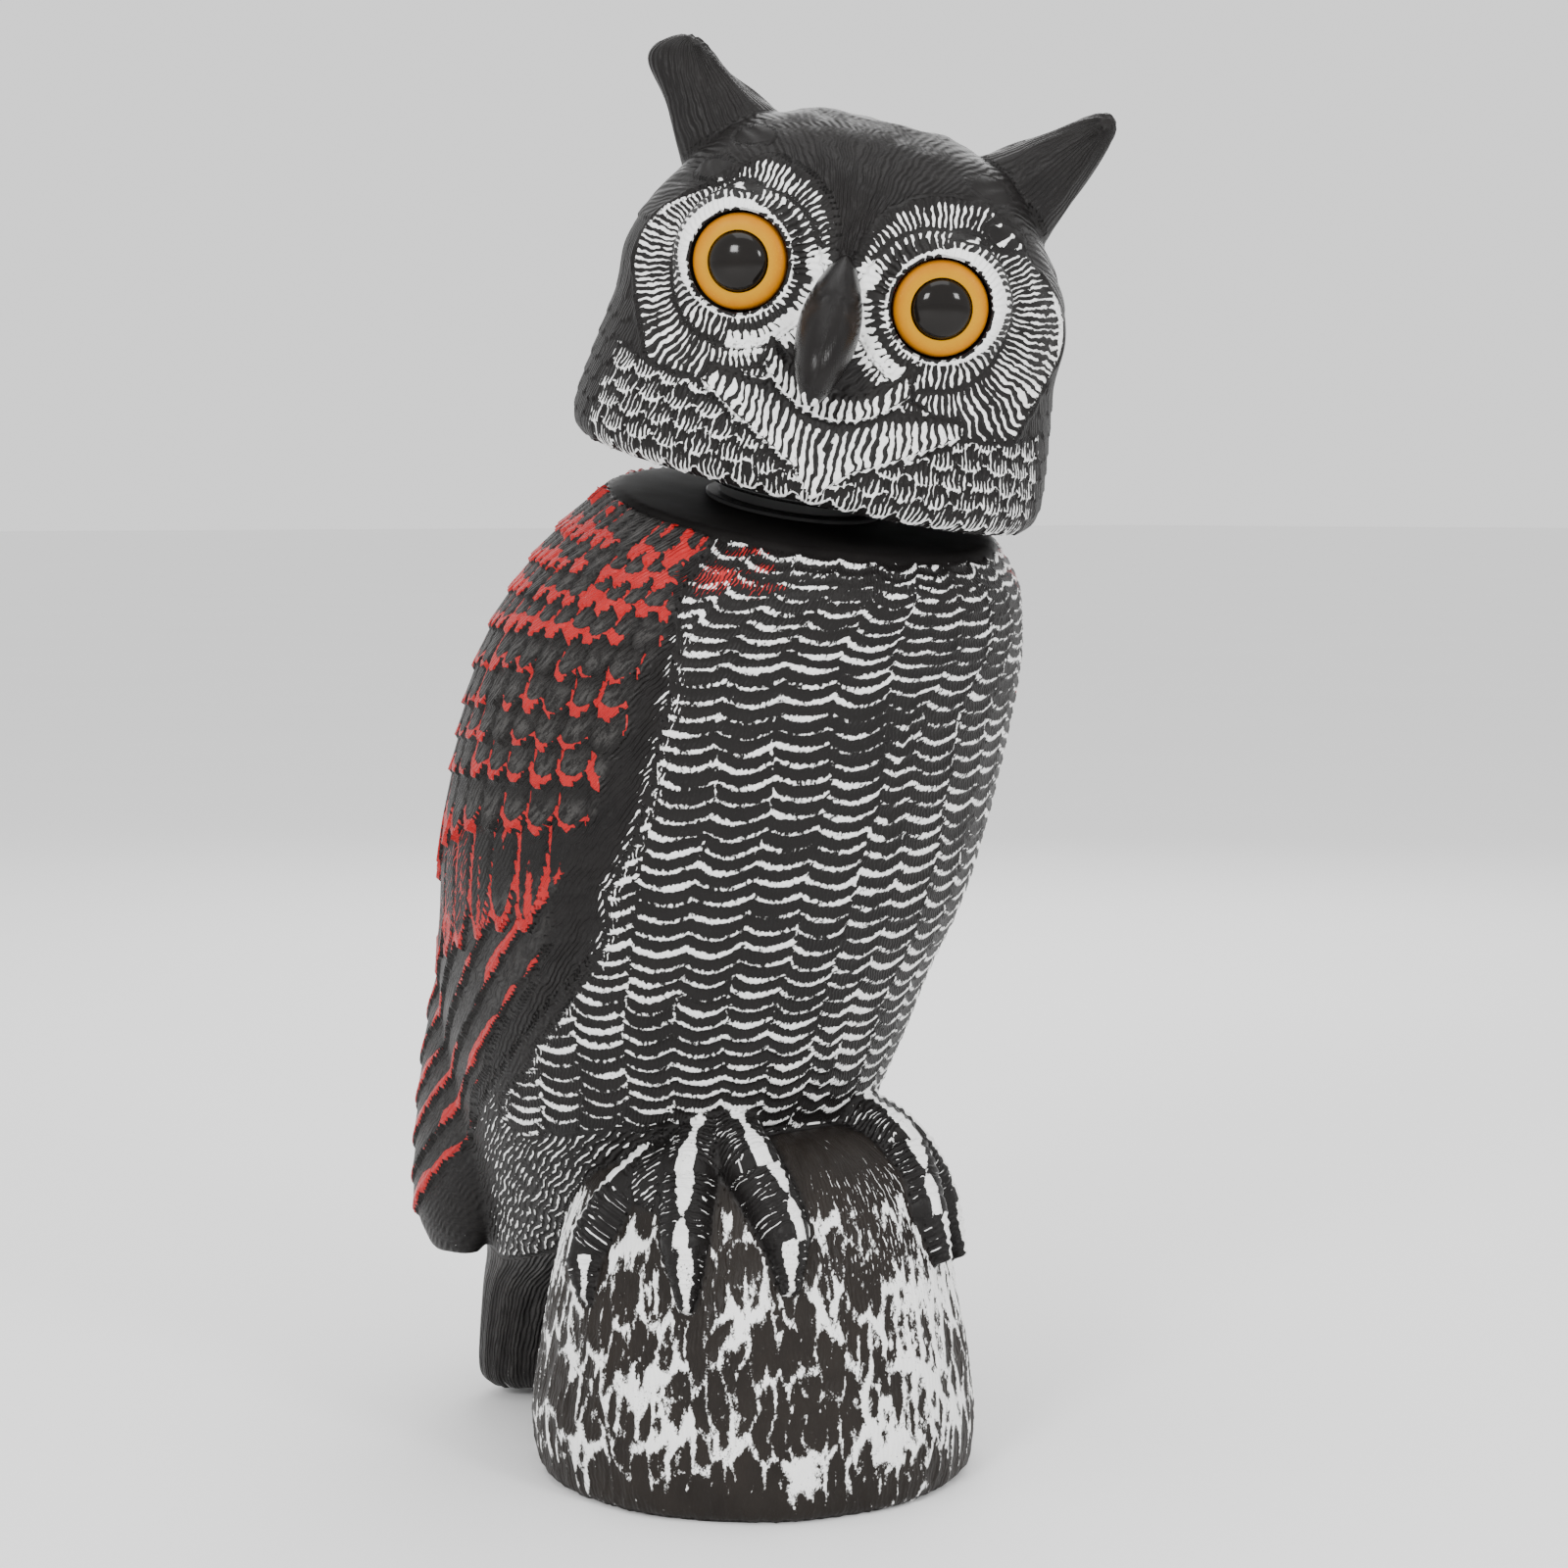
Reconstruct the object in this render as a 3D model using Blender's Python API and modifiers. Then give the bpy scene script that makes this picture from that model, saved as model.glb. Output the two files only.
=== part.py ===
"""Moulded owl decoy on a rock base, with a head that turns and bobs on a neck spring.

Metres, +Z up.  The origin is the centre of the rock's flat underside.  The owl's
chest faces -Y and its right side is -X.  At rest the head is turned to the owl's
right and leans a little to its left, which is how the spring carries it.
"""

import math

import bmesh
import bpy
from mathutils import Matrix, Vector

# ---------------------------------------------------------------- driving sizes
GAP = 0.0003            # clearance between pieces that touch
WALL = 0.0025           # moulded wall of the body and the head
FLOOR = 0.0045          # thicker floor of the rock, which holds the filler plug
NECK_WALL = 0.0045      # thicker flat top of the body, which holds the pivot bush

ROCK_FOOT_RADIUS = 0.060
ROCK_OUTLINE = (        # radius, height, from the top down
    (0.018, 0.1010),
    (0.034, 0.0970),
    (0.046, 0.0880),
    (0.052, 0.0750),
    (0.058, 0.0500),
    (0.0615, 0.0300),
    (0.0630, 0.0150),
    (0.0622, 0.0040),
)

# Body sections from the neck down to the tail's tip: height and depth of the
# section's front point, height and depth of its back point, half its width.
BODY_SECTIONS = (
    (0.2625, -0.0735, 0.2870, 0.0275, 0.0520),
    (0.2590, -0.0765, 0.2840, 0.0335, 0.0560),
    (0.2510, -0.0795, 0.2680, 0.0530, 0.0660),
    (0.2400, -0.0765, 0.2500, 0.0665, 0.0740),
    (0.2280, -0.0720, 0.2310, 0.0750, 0.0790),
    (0.2050, -0.0640, 0.2050, 0.0835, 0.0810),
    (0.1800, -0.0560, 0.1800, 0.0920, 0.0800),
    (0.1600, -0.0500, 0.1600, 0.1010, 0.0770),
    (0.1400, -0.0410, 0.1400, 0.1110, 0.0720),
    (0.1200, -0.0330, 0.1200, 0.1160, 0.0660),
    (0.1000, -0.0220, 0.1000, 0.1120, 0.0600),
    (0.0800, -0.0050, 0.0800, 0.1090, 0.0520),
    (0.0600, 0.0250, 0.0600, 0.1080, 0.0400),
    (0.0480, 0.0500, 0.0480, 0.1090, 0.0310),
    (0.0350, 0.0700, 0.0350, 0.1110, 0.0270),
    (0.0100, 0.0800, 0.0100, 0.1125, 0.0260),
    (0.0030, 0.0860, 0.0030, 0.1100, 0.0210),
)
BODY_HOLLOW_SECTIONS = 12        # the sections from the neck down that are hollow

WING_TIP_SECTIONS = (   # height, centre x, centre y, half width across, half depth
    (0.1500, 0.050, 0.060, 0.0120, 0.0300),
    (0.1250, 0.049, 0.072, 0.0135, 0.0300),
    (0.1000, 0.047, 0.084, 0.0125, 0.0260),
    (0.0800, 0.045, 0.091, 0.0115, 0.0220),
    (0.0620, 0.043, 0.096, 0.0100, 0.0165),
    (0.0500, 0.041, 0.097, 0.0060, 0.0100),
)
TAIL_WEB = ((-0.013, 0.050, 0.014), (0.013, 0.088, 0.100))

TOES = (                # right foot; the left foot mirrors it: points, and radii
    (((-0.026, -0.010, 0.100), (-0.047, -0.002, 0.088), (-0.056, 0.006, 0.070),
      (-0.059, 0.001, 0.056)), (0.0085, 0.0075, 0.0060, 0.0022)),
    (((-0.026, -0.012, 0.100), (-0.0385, -0.021, 0.091), (-0.046, -0.028, 0.075),
      (-0.050, -0.034, 0.058)), (0.0090, 0.0078, 0.0062, 0.0022)),
    (((-0.022, -0.016, 0.101), (-0.026, -0.034, 0.093), (-0.025, -0.046, 0.078),
      (-0.028, -0.052, 0.063)), (0.0085, 0.0078, 0.0064, 0.0024)),
)
TOE_SIDES = 8

FILL_CENTRE = Vector((0.0, 0.024, 0.0))
FILL_HOLE_RADIUS = 0.0150
PLUG_FLANGE_RADIUS = 0.0188
PLUG_SEAT_DEPTH = 0.0020
PLUG_LENGTH = 0.0095
PLUG_WALL = 0.0015
PLUG_CHAMFER = 0.0010

PLATE_TILT = math.radians(13.65)        # the flat neck top leans forward
PIVOT = Vector((0.0, -0.0179, 0.2760))  # where the turning axis meets the neck top
BUSH_FLANGE_RADIUS = 0.0110
BUSH_RADIUS = 0.0067
BUSH_LENGTH = 0.0140
BUSH_SEAT_DEPTH = 0.0020
BUSH_CHAMFER = 0.0010
SCREW_SHANK_RADIUS = 0.0020
SCREW_HEAD_RADIUS = 0.0045
SCREW_LENGTH = 0.0120
SCREW_HEAD_HEIGHT = 0.0024
SCREW_SOCKET_RADIUS = 0.0014
SCREW_SOCKET_DEPTH = 0.0012
SCREW_POINT = 0.0015
WASHER_RADIUS = 0.0070
WASHER = 0.0008

SPRING_RADIUS = 0.0225                  # to the middle of the wire
WIRE_RADIUS = 0.0010
SPRING_TURNS = 7.0
SPRING_PIECES = 4
SPRING_POINTS_PER_TURN = 16
SPRING_STRAIGHT = 0.009                 # how far the centre line leaves each seat squarely
SEAT_FLANGE_RADIUS = 0.0245
SEAT_FLANGE = 0.0012
SEAT_BOSS_RADIUS = 0.0208
SEAT_BOSS = 0.0070
SEAT_BOSS_WALL = 0.0022
SEAT_CHAMFER = 0.0006
SEAT_WEB = 0.0020
SEAT_BORE_CLEARANCE = 0.0005            # the turning seat's bore round the screw

HEAD_TURN = math.radians(41.0)          # to the owl's right
HEAD_LEAN_FORWARD = math.radians(13.5)
HEAD_LEAN_LEFT = math.radians(5.87)
RIM_CENTRE = Vector((0.0010, -0.0215, 0.2838))
RECESS_RADIUS = 0.0590
RECESS_DEPTH = 0.0250                   # rim plane to the recess's ceiling
CEILING = 0.0030
CEILING_HOLE_RADIUS = 0.0080
SEAT_SCREW_CIRCLE = 0.0140
SEAT_SCREWS = 3
SEAT_SCREW_SHANK_RADIUS = 0.0013
SEAT_SCREW_HEAD_RADIUS = 0.0029
SEAT_SCREW_LENGTH = 0.0080

# Head sections from the rim up, in the head's own axes (face towards -Y):
# height, depth of the front, depth of the back, half its width.
HEAD_SECTIONS = (
    (0.0000, -0.0590, 0.0590, 0.0615),
    (0.0035, -0.0635, 0.0630, 0.0650),
    (0.0110, -0.0640, 0.0630, 0.0655),
    (0.0260, -0.0600, 0.0610, 0.0635),
    (0.0400, -0.0560, 0.0590, 0.0615),
    (0.0520, -0.0530, 0.0570, 0.0618),
    (0.0620, -0.0510, 0.0545, 0.0605),
    (0.0720, -0.0480, 0.0500, 0.0565),
    (0.0830, -0.0420, 0.0420, 0.0480),
    (0.0930, -0.0310, 0.0290, 0.0340),
    (0.0990, -0.0160, 0.0130, 0.0170),
)
FACE_FLATNESS = 0.8                     # under 1 for a face flatter than an oval
HEAD_HOLLOW_SECTIONS = (3, 10)          # first and last hollow section
EAR_SECTIONS = (        # centre x, y, height, half width across, half thickness
    (0.030, 0.004, 0.076, 0.0200, 0.0160),
    (0.040, 0.004, 0.089, 0.0150, 0.0120),
    (0.050, 0.005, 0.101, 0.0100, 0.0085),
    (0.058, 0.007, 0.111, 0.0050, 0.0050),
    (0.060, 0.008, 0.114, 0.0020, 0.0025),
)
BEAK_SECTIONS = (       # height, depth of the ridge, depth of the root, half width
    (0.0640, -0.0530, -0.0440, 0.0015),
    (0.0580, -0.0600, -0.0440, 0.0050),
    (0.0480, -0.0680, -0.0440, 0.0080),
    (0.0380, -0.0735, -0.0460, 0.0075),
    (0.0300, -0.0740, -0.0560, 0.0045),
    (0.0255, -0.0725, -0.0660, 0.0015),
)

EYE_HEIGHT = 0.0560
EYE_SPACING = 0.0270                    # from the middle of the face
EYE_DEPTH = -0.0500                     # where the eye's outer rim lies
EYE_TURN_OUT = math.radians(8.0)
EYE_HOLE_RADIUS = 0.0132
EYE_POCKET = 0.0060
EYE_BOSS_RADIUS = 0.0162
IRIS_RADIUS = 0.0126
PUPIL_RADIUS = 0.0077
EYE_STEM_RADIUS = 0.0030
EYE_STEM = 0.0070
EYE_STEM_CHAMFER = 0.0010
IRIS_CUP_FLOOR = -0.0040
IRIS_LIP = 0.0004                       # height of the ring's inner edge, round the pupil
IRIS_ROUNDING = ((0.0022, 0.0006), (0.0006, -0.0008), (0.0, -0.0022))   # in from the edge, height
PUPIL_FOOT = -0.0037
PUPIL_EDGE = 0.0008
PUPIL_DOME = 0.0034
PUPIL_STEPS = 5

RING_SIDES = 40
HOLLOW_SIDES = 32
TURNED_STEPS = 24
SCREW_STEPS = 12
WING_TIP_SIDES = 16
EAR_SIDES = 12
BEAK_SIDES = 12
EAR_LEAN = (0.83, -0.55)                # how an ear's width runs: outwards, upwards
HOLLOW_INSET = 1.2                      # the head's side walls, in walls
THROUGH = 0.03                          # how far a cutter runs past what it cuts


# ---------------------------------------------------------------- scene helpers
def clear_scene():
    for old in list(bpy.data.objects):
        bpy.data.objects.remove(old)


def new_collection(name):
    group = bpy.data.collections.new(name)
    bpy.context.scene.collection.children.link(group)
    return group


def plastic(name, colour, roughness, metallic=0.0):
    mat = bpy.data.materials.new(name)
    mat.use_nodes = True
    shader = mat.node_tree.nodes["Principled BSDF"]
    shader.inputs["Base Color"].default_value = (*colour, 1.0)
    shader.inputs["Roughness"].default_value = roughness
    shader.inputs["Metallic"].default_value = metallic
    return mat


def add_mesh(name, mesh, group, material=None, matrix=None):
    piece = bpy.data.objects.new(name, mesh)
    group.objects.link(piece)
    if material is not None:
        mesh.materials.append(material)
    if matrix is not None:
        piece.matrix_world = matrix
    return piece


def smooth(piece, angle=40.0):
    piece.data.shade_smooth()
    piece.data.set_sharp_from_angle(angle=math.radians(angle))


def cutter(name, mesh, matrix=None):
    piece = add_mesh(name, mesh, CUTTERS, matrix=matrix)
    piece.hide_render = True
    piece.display_type = "WIRE"
    return piece


def boolean(piece, other, operation):
    mod = piece.modifiers.new(other.name, "BOOLEAN")
    mod.object = other
    mod.operation = operation
    mod.solver = "EXACT"


# ---------------------------------------------------------------- shape helpers
def loft(name, rings):
    """A closed solid through rings of points that all have the same count."""
    bm = bmesh.new()
    loops = [[bm.verts.new(point) for point in ring] for ring in rings]
    sides = len(loops[0])
    for low, high in zip(loops, loops[1:]):
        for i in range(sides):
            j = (i + 1) % sides
            bm.faces.new((low[i], low[j], high[j], high[i]))
    bm.faces.new(loops[0])
    bm.faces.new(loops[-1])
    bmesh.ops.recalc_face_normals(bm, faces=bm.faces)
    if bm.calc_volume(signed=True) < 0.0:
        bmesh.ops.reverse_faces(bm, faces=bm.faces)
    mesh = bpy.data.meshes.new(name)
    bm.to_mesh(mesh)
    bm.free()
    return mesh


def oval(centre, front, side, sides, flatness=1.0):
    """Points round an oval with axes front and side; flatness under 1 flattens its front."""
    points = []
    for i in range(sides):
        angle = 2.0 * math.pi * i / sides
        reach = math.cos(angle)
        if reach > 0.0:
            reach = reach**flatness
        points.append(centre + front * reach + side * math.sin(angle))
    return points


def leaning_ring(front_z, front_y, back_z, back_y, half_width, sides, inset=0.0, flatness=1.0):
    front = Vector((0.0, front_y, front_z))
    back = Vector((0.0, back_y, back_z))
    centre = (front + back) / 2.0
    reach = front - centre
    reach = reach.normalized() * (reach.length - inset)
    return oval(centre, reach, Vector((inset - half_width, 0.0, 0.0)), sides, flatness)


def box(name, low, high):
    bm = bmesh.new()
    bmesh.ops.create_cube(bm, size=1.0)
    size = Vector(high) - Vector(low)
    middle = (Vector(high) + Vector(low)) / 2.0
    place = Matrix.Translation(middle) @ Matrix.Diagonal((*size, 1.0))
    bmesh.ops.transform(bm, matrix=place, verts=bm.verts)
    mesh = bpy.data.meshes.new(name)
    bm.to_mesh(mesh)
    bm.free()
    return mesh


def cylinder(name, radius, bottom, top, sides=TURNED_STEPS):
    bm = bmesh.new()
    bmesh.ops.create_cone(
        bm, cap_ends=True, segments=sides, radius1=radius, radius2=radius, depth=top - bottom
    )
    bmesh.ops.translate(bm, vec=(0.0, 0.0, (top + bottom) / 2.0), verts=bm.verts)
    mesh = bpy.data.meshes.new(name)
    bm.to_mesh(mesh)
    bm.free()
    return mesh


def turned(name, outline, group, material, matrix, steps=TURNED_STEPS):
    """A turned solid: outline is (radius, height) from the axis round and back to it."""
    mesh = bpy.data.meshes.new(name)
    edges = [(i, i + 1) for i in range(len(outline) - 1)]
    if outline[0][0] > 0.0:
        edges.append((len(outline) - 1, 0))
    mesh.from_pydata([(r, 0.0, z) for r, z in outline], edges, [])
    piece = add_mesh(name, mesh, group, material, matrix)
    screw = piece.modifiers.new("Turn", "SCREW")
    screw.steps = steps
    screw.render_steps = steps
    screw.use_merge_vertices = True
    screw.merge_threshold = 0.00001
    screw.use_smooth_shade = False
    return piece


# ---------------------------------------------------------------- local frames
def plate_frame(origin=PIVOT):
    """Z along the neck top's normal, -Y to the front."""
    return Matrix.Translation(origin) @ Matrix.Rotation(PLATE_TILT, 4, "X")


def head_frame():
    """Z along the head's own axis, -Y out of the face, from the middle of its rim."""
    axis = Vector((math.tan(HEAD_LEAN_LEFT), -math.tan(HEAD_LEAN_FORWARD), 1.0)).normalized()
    facing = Vector((-math.sin(HEAD_TURN), -math.cos(HEAD_TURN), 0.0))
    facing = (facing - axis * facing.dot(axis)).normalized()
    depth = -facing
    side = depth.cross(axis)
    turn = Matrix((side, depth, axis)).transposed().to_4x4()
    return Matrix.Translation(RIM_CENTRE) @ turn


def eye_frame(sign):
    """Z out of the eye, from the middle of its hole, on the head's side given by sign."""
    place = Matrix.Translation((sign * EYE_SPACING, EYE_DEPTH, EYE_HEIGHT))
    outward = Matrix.Rotation(sign * EYE_TURN_OUT, 4, "Z")
    return head_frame() @ place @ outward @ Matrix.Rotation(math.radians(90.0), 4, "X")


# ---------------------------------------------------------------- body and rock
def rock_mesh(name, inset, floor, sides):
    levels = [(radius - inset, height - inset) for radius, height in ROCK_OUTLINE if height > floor]
    foot = ROCK_FOOT_RADIUS if inset == 0.0 else ROCK_OUTLINE[-1][0]
    levels.append((foot - inset, floor))
    rings = []
    for radius, height in levels:
        front = Vector((0.0, -radius, 0.0))
        side = Vector((-radius, 0.0, 0.0))
        rings.append(oval(Vector((0.0, 0.0, height)), front, side, sides))
    return loft(name, rings)


def body_hollow():
    """The space inside the body, from under the neck top down into the rock."""
    sections = BODY_SECTIONS[:BODY_HOLLOW_SECTIONS]
    rings = [leaning_ring(*section, HOLLOW_SIDES, WALL) for section in sections[1:]]
    drop = plate_frame().to_3x3() @ Vector((0.0, 0.0, -NECK_WALL))
    neck = [point + drop for point in leaning_ring(*sections[0], HOLLOW_SIDES, WALL)]
    return loft("body_hollow", [neck] + rings[1:])


def wing_tip(name, sign):
    rings = []
    for height, x, y, half_width, half_depth in WING_TIP_SECTIONS:
        centre = Vector((sign * x, y, height))
        front = Vector((0.0, -half_depth, 0.0))
        rings.append(oval(centre, front, Vector((half_width, 0.0, 0.0)), WING_TIP_SIDES))
    return loft(name, rings)


def toe(name, points, radii, sign):
    """A tapered toe along its points, with the claw at its thin end."""
    path = [Vector((-sign * x, y, z)) for x, y, z in points]
    rings = []
    for i, (point, radius) in enumerate(zip(path, radii)):
        along = (path[min(i + 1, len(path) - 1)] - path[max(i - 1, 0)]).normalized()
        across = along.cross(Vector((0.0, 0.0, 1.0))).normalized()
        rings.append(oval(point, across * radius, along.cross(across) * radius, TOE_SIDES))
    return loft(name, rings)


def make_body(material):
    body = add_mesh("body_shell", rock_mesh("body_shell", 0.0, 0.0, RING_SIDES), OWL, material)
    torso = loft("torso", [leaning_ring(*section, RING_SIDES) for section in BODY_SECTIONS])
    boolean(body, cutter("torso", torso), "UNION")
    boolean(body, cutter("tail_web", box("tail_web", *TAIL_WEB)), "UNION")
    for side, sign in (("right", -1.0), ("left", 1.0)):
        name = f"wing_tip_{side}"
        boolean(body, cutter(name, wing_tip(name, sign)), "UNION")
        for i, (points, radii) in enumerate(TOES):
            name = f"toe_{side}_{i + 1}"
            boolean(body, cutter(name, toe(name, points, radii, sign)), "UNION")
    rock_hollow = rock_mesh("rock_hollow", WALL, FLOOR, HOLLOW_SIDES)
    hollow = cutter("hollow", body_hollow())
    boolean(hollow, cutter("rock_hollow", rock_hollow), "UNION")
    boolean(body, hollow, "DIFFERENCE")
    fill = Matrix.Translation(FILL_CENTRE)
    hole = cylinder("fill_hole", FILL_HOLE_RADIUS, -THROUGH, 2.0 * FLOOR)
    boolean(body, cutter("fill_hole", hole, fill), "DIFFERENCE")
    seat = cylinder("plug_seat", PLUG_FLANGE_RADIUS + GAP, -THROUGH, PLUG_SEAT_DEPTH)
    boolean(body, cutter("plug_seat", seat, fill), "DIFFERENCE")
    neck = plate_frame()
    hole = cylinder("bush_hole", BUSH_RADIUS + GAP, -THROUGH, THROUGH)
    boolean(body, cutter("bush_hole", hole, neck), "DIFFERENCE")
    counterbore = cylinder("bush_seat", BUSH_FLANGE_RADIUS + GAP, -BUSH_SEAT_DEPTH, THROUGH)
    boolean(body, cutter("bush_seat", counterbore, neck), "DIFFERENCE")
    smooth(body)


def make_plug(material):
    """The soft plug that closes the hole for a sand filling."""
    flange_top = PLUG_SEAT_DEPTH - GAP
    barrel = FILL_HOLE_RADIUS - GAP
    outline = (
        (0.0, flange_top + PLUG_WALL),
        (barrel - PLUG_WALL, flange_top + PLUG_WALL),
        (barrel - PLUG_WALL, PLUG_LENGTH),
        (barrel - PLUG_CHAMFER / 2.0, PLUG_LENGTH),
        (barrel, PLUG_LENGTH - PLUG_CHAMFER),
        (barrel, flange_top),
        (PLUG_FLANGE_RADIUS, flange_top),
        (PLUG_FLANGE_RADIUS, GAP),
        (0.0, GAP),
    )
    smooth(turned("fill_plug", outline, OWL, material, Matrix.Translation(FILL_CENTRE)))


# ---------------------------------------------------------------- neck pivot
def make_neck(nylon, seat_plastic, steel, wire):
    neck = plate_frame()
    flange_bottom = -BUSH_SEAT_DEPTH + GAP
    bore = SCREW_SHANK_RADIUS + GAP
    bush = (
        (bore, 0.0),
        (BUSH_FLANGE_RADIUS, 0.0),
        (BUSH_FLANGE_RADIUS, flange_bottom),
        (BUSH_RADIUS, flange_bottom),
        (BUSH_RADIUS, -BUSH_LENGTH + BUSH_CHAMFER),
        (BUSH_RADIUS - BUSH_CHAMFER, -BUSH_LENGTH),
        (bore, -BUSH_LENGTH),
    )
    smooth(turned("pivot_bush", bush, OWL, nylon, neck))

    seat = spring_seat_outline(SCREW_SHANK_RADIUS + SEAT_BORE_CLEARANCE)
    place = neck @ Matrix.Translation((0.0, 0.0, GAP))
    smooth(turned("lower_spring_seat", seat, OWL, seat_plastic, place))

    washer_bottom = GAP + SEAT_WEB + GAP
    washer_top = washer_bottom + WASHER
    washer = (
        (bore, washer_top),
        (WASHER_RADIUS, washer_top),
        (WASHER_RADIUS, washer_bottom),
        (bore, washer_bottom),
    )
    smooth(turned("pivot_washer", washer, OWL, steel, neck))

    place = neck @ Matrix.Translation((0.0, 0.0, washer_top + GAP))
    screw = pan_screw_outline(SCREW_SHANK_RADIUS, SCREW_HEAD_RADIUS, SCREW_LENGTH)
    smooth(turned("pivot_screw", screw, OWL, steel, place, SCREW_STEPS))
    make_spring(wire)


def spring_seat_outline(bore):
    """A dished seat: flange under the wire, boss inside the coil, web at the bottom."""
    return (
        (bore, SEAT_WEB),
        (SEAT_BOSS_RADIUS - SEAT_BOSS_WALL, SEAT_WEB),
        (SEAT_BOSS_RADIUS - SEAT_BOSS_WALL, SEAT_BOSS),
        (SEAT_BOSS_RADIUS - SEAT_CHAMFER, SEAT_BOSS),
        (SEAT_BOSS_RADIUS, SEAT_BOSS - SEAT_CHAMFER),
        (SEAT_BOSS_RADIUS, SEAT_FLANGE),
        (SEAT_FLANGE_RADIUS, SEAT_FLANGE),
        (SEAT_FLANGE_RADIUS, 0.0),
        (bore, 0.0),
    )


def pan_screw_outline(shank, head, length):
    """A pan-head screw whose head sits on its frame's origin; the shank points down."""
    return (
        (0.0, SCREW_SOCKET_DEPTH),
        (0.6 * SCREW_SOCKET_RADIUS, SCREW_SOCKET_DEPTH),
        (SCREW_SOCKET_RADIUS, SCREW_HEAD_HEIGHT),
        (0.62 * head, SCREW_HEAD_HEIGHT),
        (0.92 * head, 0.66 * SCREW_HEAD_HEIGHT),
        (head, 0.0),
        (shank, 0.0),
        (shank, SCREW_POINT - length),
        (0.35 * shank, -length),
        (0.0, -length),
    )


def spring_centre_line():
    """Four points of a cubic curve from the lower seat's wire to the upper seat's."""
    neck = plate_frame()
    head = head_frame()
    rise = GAP + SEAT_FLANGE + GAP + WIRE_RADIUS
    drop = RECESS_DEPTH - rise
    start = neck @ Vector((0.0, 0.0, rise))
    end = head @ Vector((0.0, 0.0, drop))
    near_start = neck @ Vector((0.0, 0.0, rise + SPRING_STRAIGHT))
    near_end = head @ Vector((0.0, 0.0, drop - SPRING_STRAIGHT))
    return start, near_start, near_end, end


def cubic(points, t):
    a, b, c, d = points
    s = 1.0 - t
    return a * s**3 + b * (3 * s * s * t) + c * (3 * s * t * t) + d * t**3


def spring_point(line, t):
    """A point of the coil a share t of the way up its bent centre line."""
    centre = cubic(line, t)
    ahead = cubic(line, min(t + 0.01, 1.0)) - cubic(line, max(t - 0.01, 0.0))
    axis = ahead.normalized()
    across = (Vector((1.0, 0.0, 0.0)) - axis * axis.x).normalized()
    other = axis.cross(across)
    angle = 2.0 * math.pi * SPRING_TURNS * t
    return centre + (across * math.cos(angle) + other * math.sin(angle)) * SPRING_RADIUS


def wire_mesh(name, points, radius):
    curve = bpy.data.curves.new(name, "CURVE")
    curve.dimensions = "3D"
    curve.bevel_depth = radius
    curve.bevel_resolution = 2
    curve.use_fill_caps = True
    spline = curve.splines.new("POLY")
    spline.points.add(len(points) - 1)
    for slot, point in zip(spline.points, points):
        slot.co = (*point, 1.0)
    wire = bpy.data.objects.new(name, curve)
    CUTTERS.objects.link(wire)
    bpy.context.view_layer.update()
    evaluated = wire.evaluated_get(bpy.context.evaluated_depsgraph_get())
    mesh = bpy.data.meshes.new_from_object(evaluated)
    bpy.data.objects.remove(wire)
    bm = bmesh.new()
    bm.from_mesh(mesh)
    bmesh.ops.remove_doubles(bm, verts=bm.verts, dist=0.00001)
    bmesh.ops.recalc_face_normals(bm, faces=bm.faces)
    bm.to_mesh(mesh)
    bm.free()
    mesh.name = name
    return mesh


def make_spring(material):
    """One coil spring, cut into lengths so that each can follow its own joint."""
    line = spring_centre_line()
    steps = round(SPRING_TURNS * SPRING_POINTS_PER_TURN / SPRING_PIECES)
    total = steps * SPRING_PIECES
    trim = 0.5 * GAP / (2.0 * math.pi * SPRING_RADIUS * SPRING_TURNS)
    for piece in range(SPRING_PIECES):
        shares = [i / total for i in range(piece * steps, (piece + 1) * steps + 1)]
        if piece > 0:
            shares[0] += trim
        if piece < SPRING_PIECES - 1:
            shares[-1] -= trim
        name = f"neck_spring_turns_{piece + 1}"
        mesh = wire_mesh(name, [spring_point(line, t) for t in shares], WIRE_RADIUS)
        smooth(add_mesh(name, mesh, OWL, material))


# ---------------------------------------------------------------- head
def head_hollow():
    """The space above the recess's ceiling, with two solid bosses left for the eyes."""
    first, last = HEAD_HOLLOW_SECTIONS
    floor = RECESS_DEPTH + CEILING
    inset = WALL * HOLLOW_INSET
    rings = []
    for height, front, back, width in HEAD_SECTIONS[first:last]:
        z = max(height, floor)
        rings.append(leaning_ring(z, front, z, back, width, HOLLOW_SIDES, inset, FACE_FLATNESS))
    height, front, back, width = HEAD_SECTIONS[last]
    z = height - WALL
    rings.append(leaning_ring(z, front, z, back, width, HOLLOW_SIDES, WALL, FACE_FLATNESS))
    hollow = cutter("head_hollow", loft("head_hollow", rings), head_frame())
    for side, sign in (("right", -1.0), ("left", 1.0)):
        name = f"eye_boss_{side}"
        boss = cylinder(name, EYE_BOSS_RADIUS, -EYE_POCKET - WALL, THROUGH)
        boolean(hollow, cutter(name, boss, eye_frame(sign)), "DIFFERENCE")
    return hollow


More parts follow.
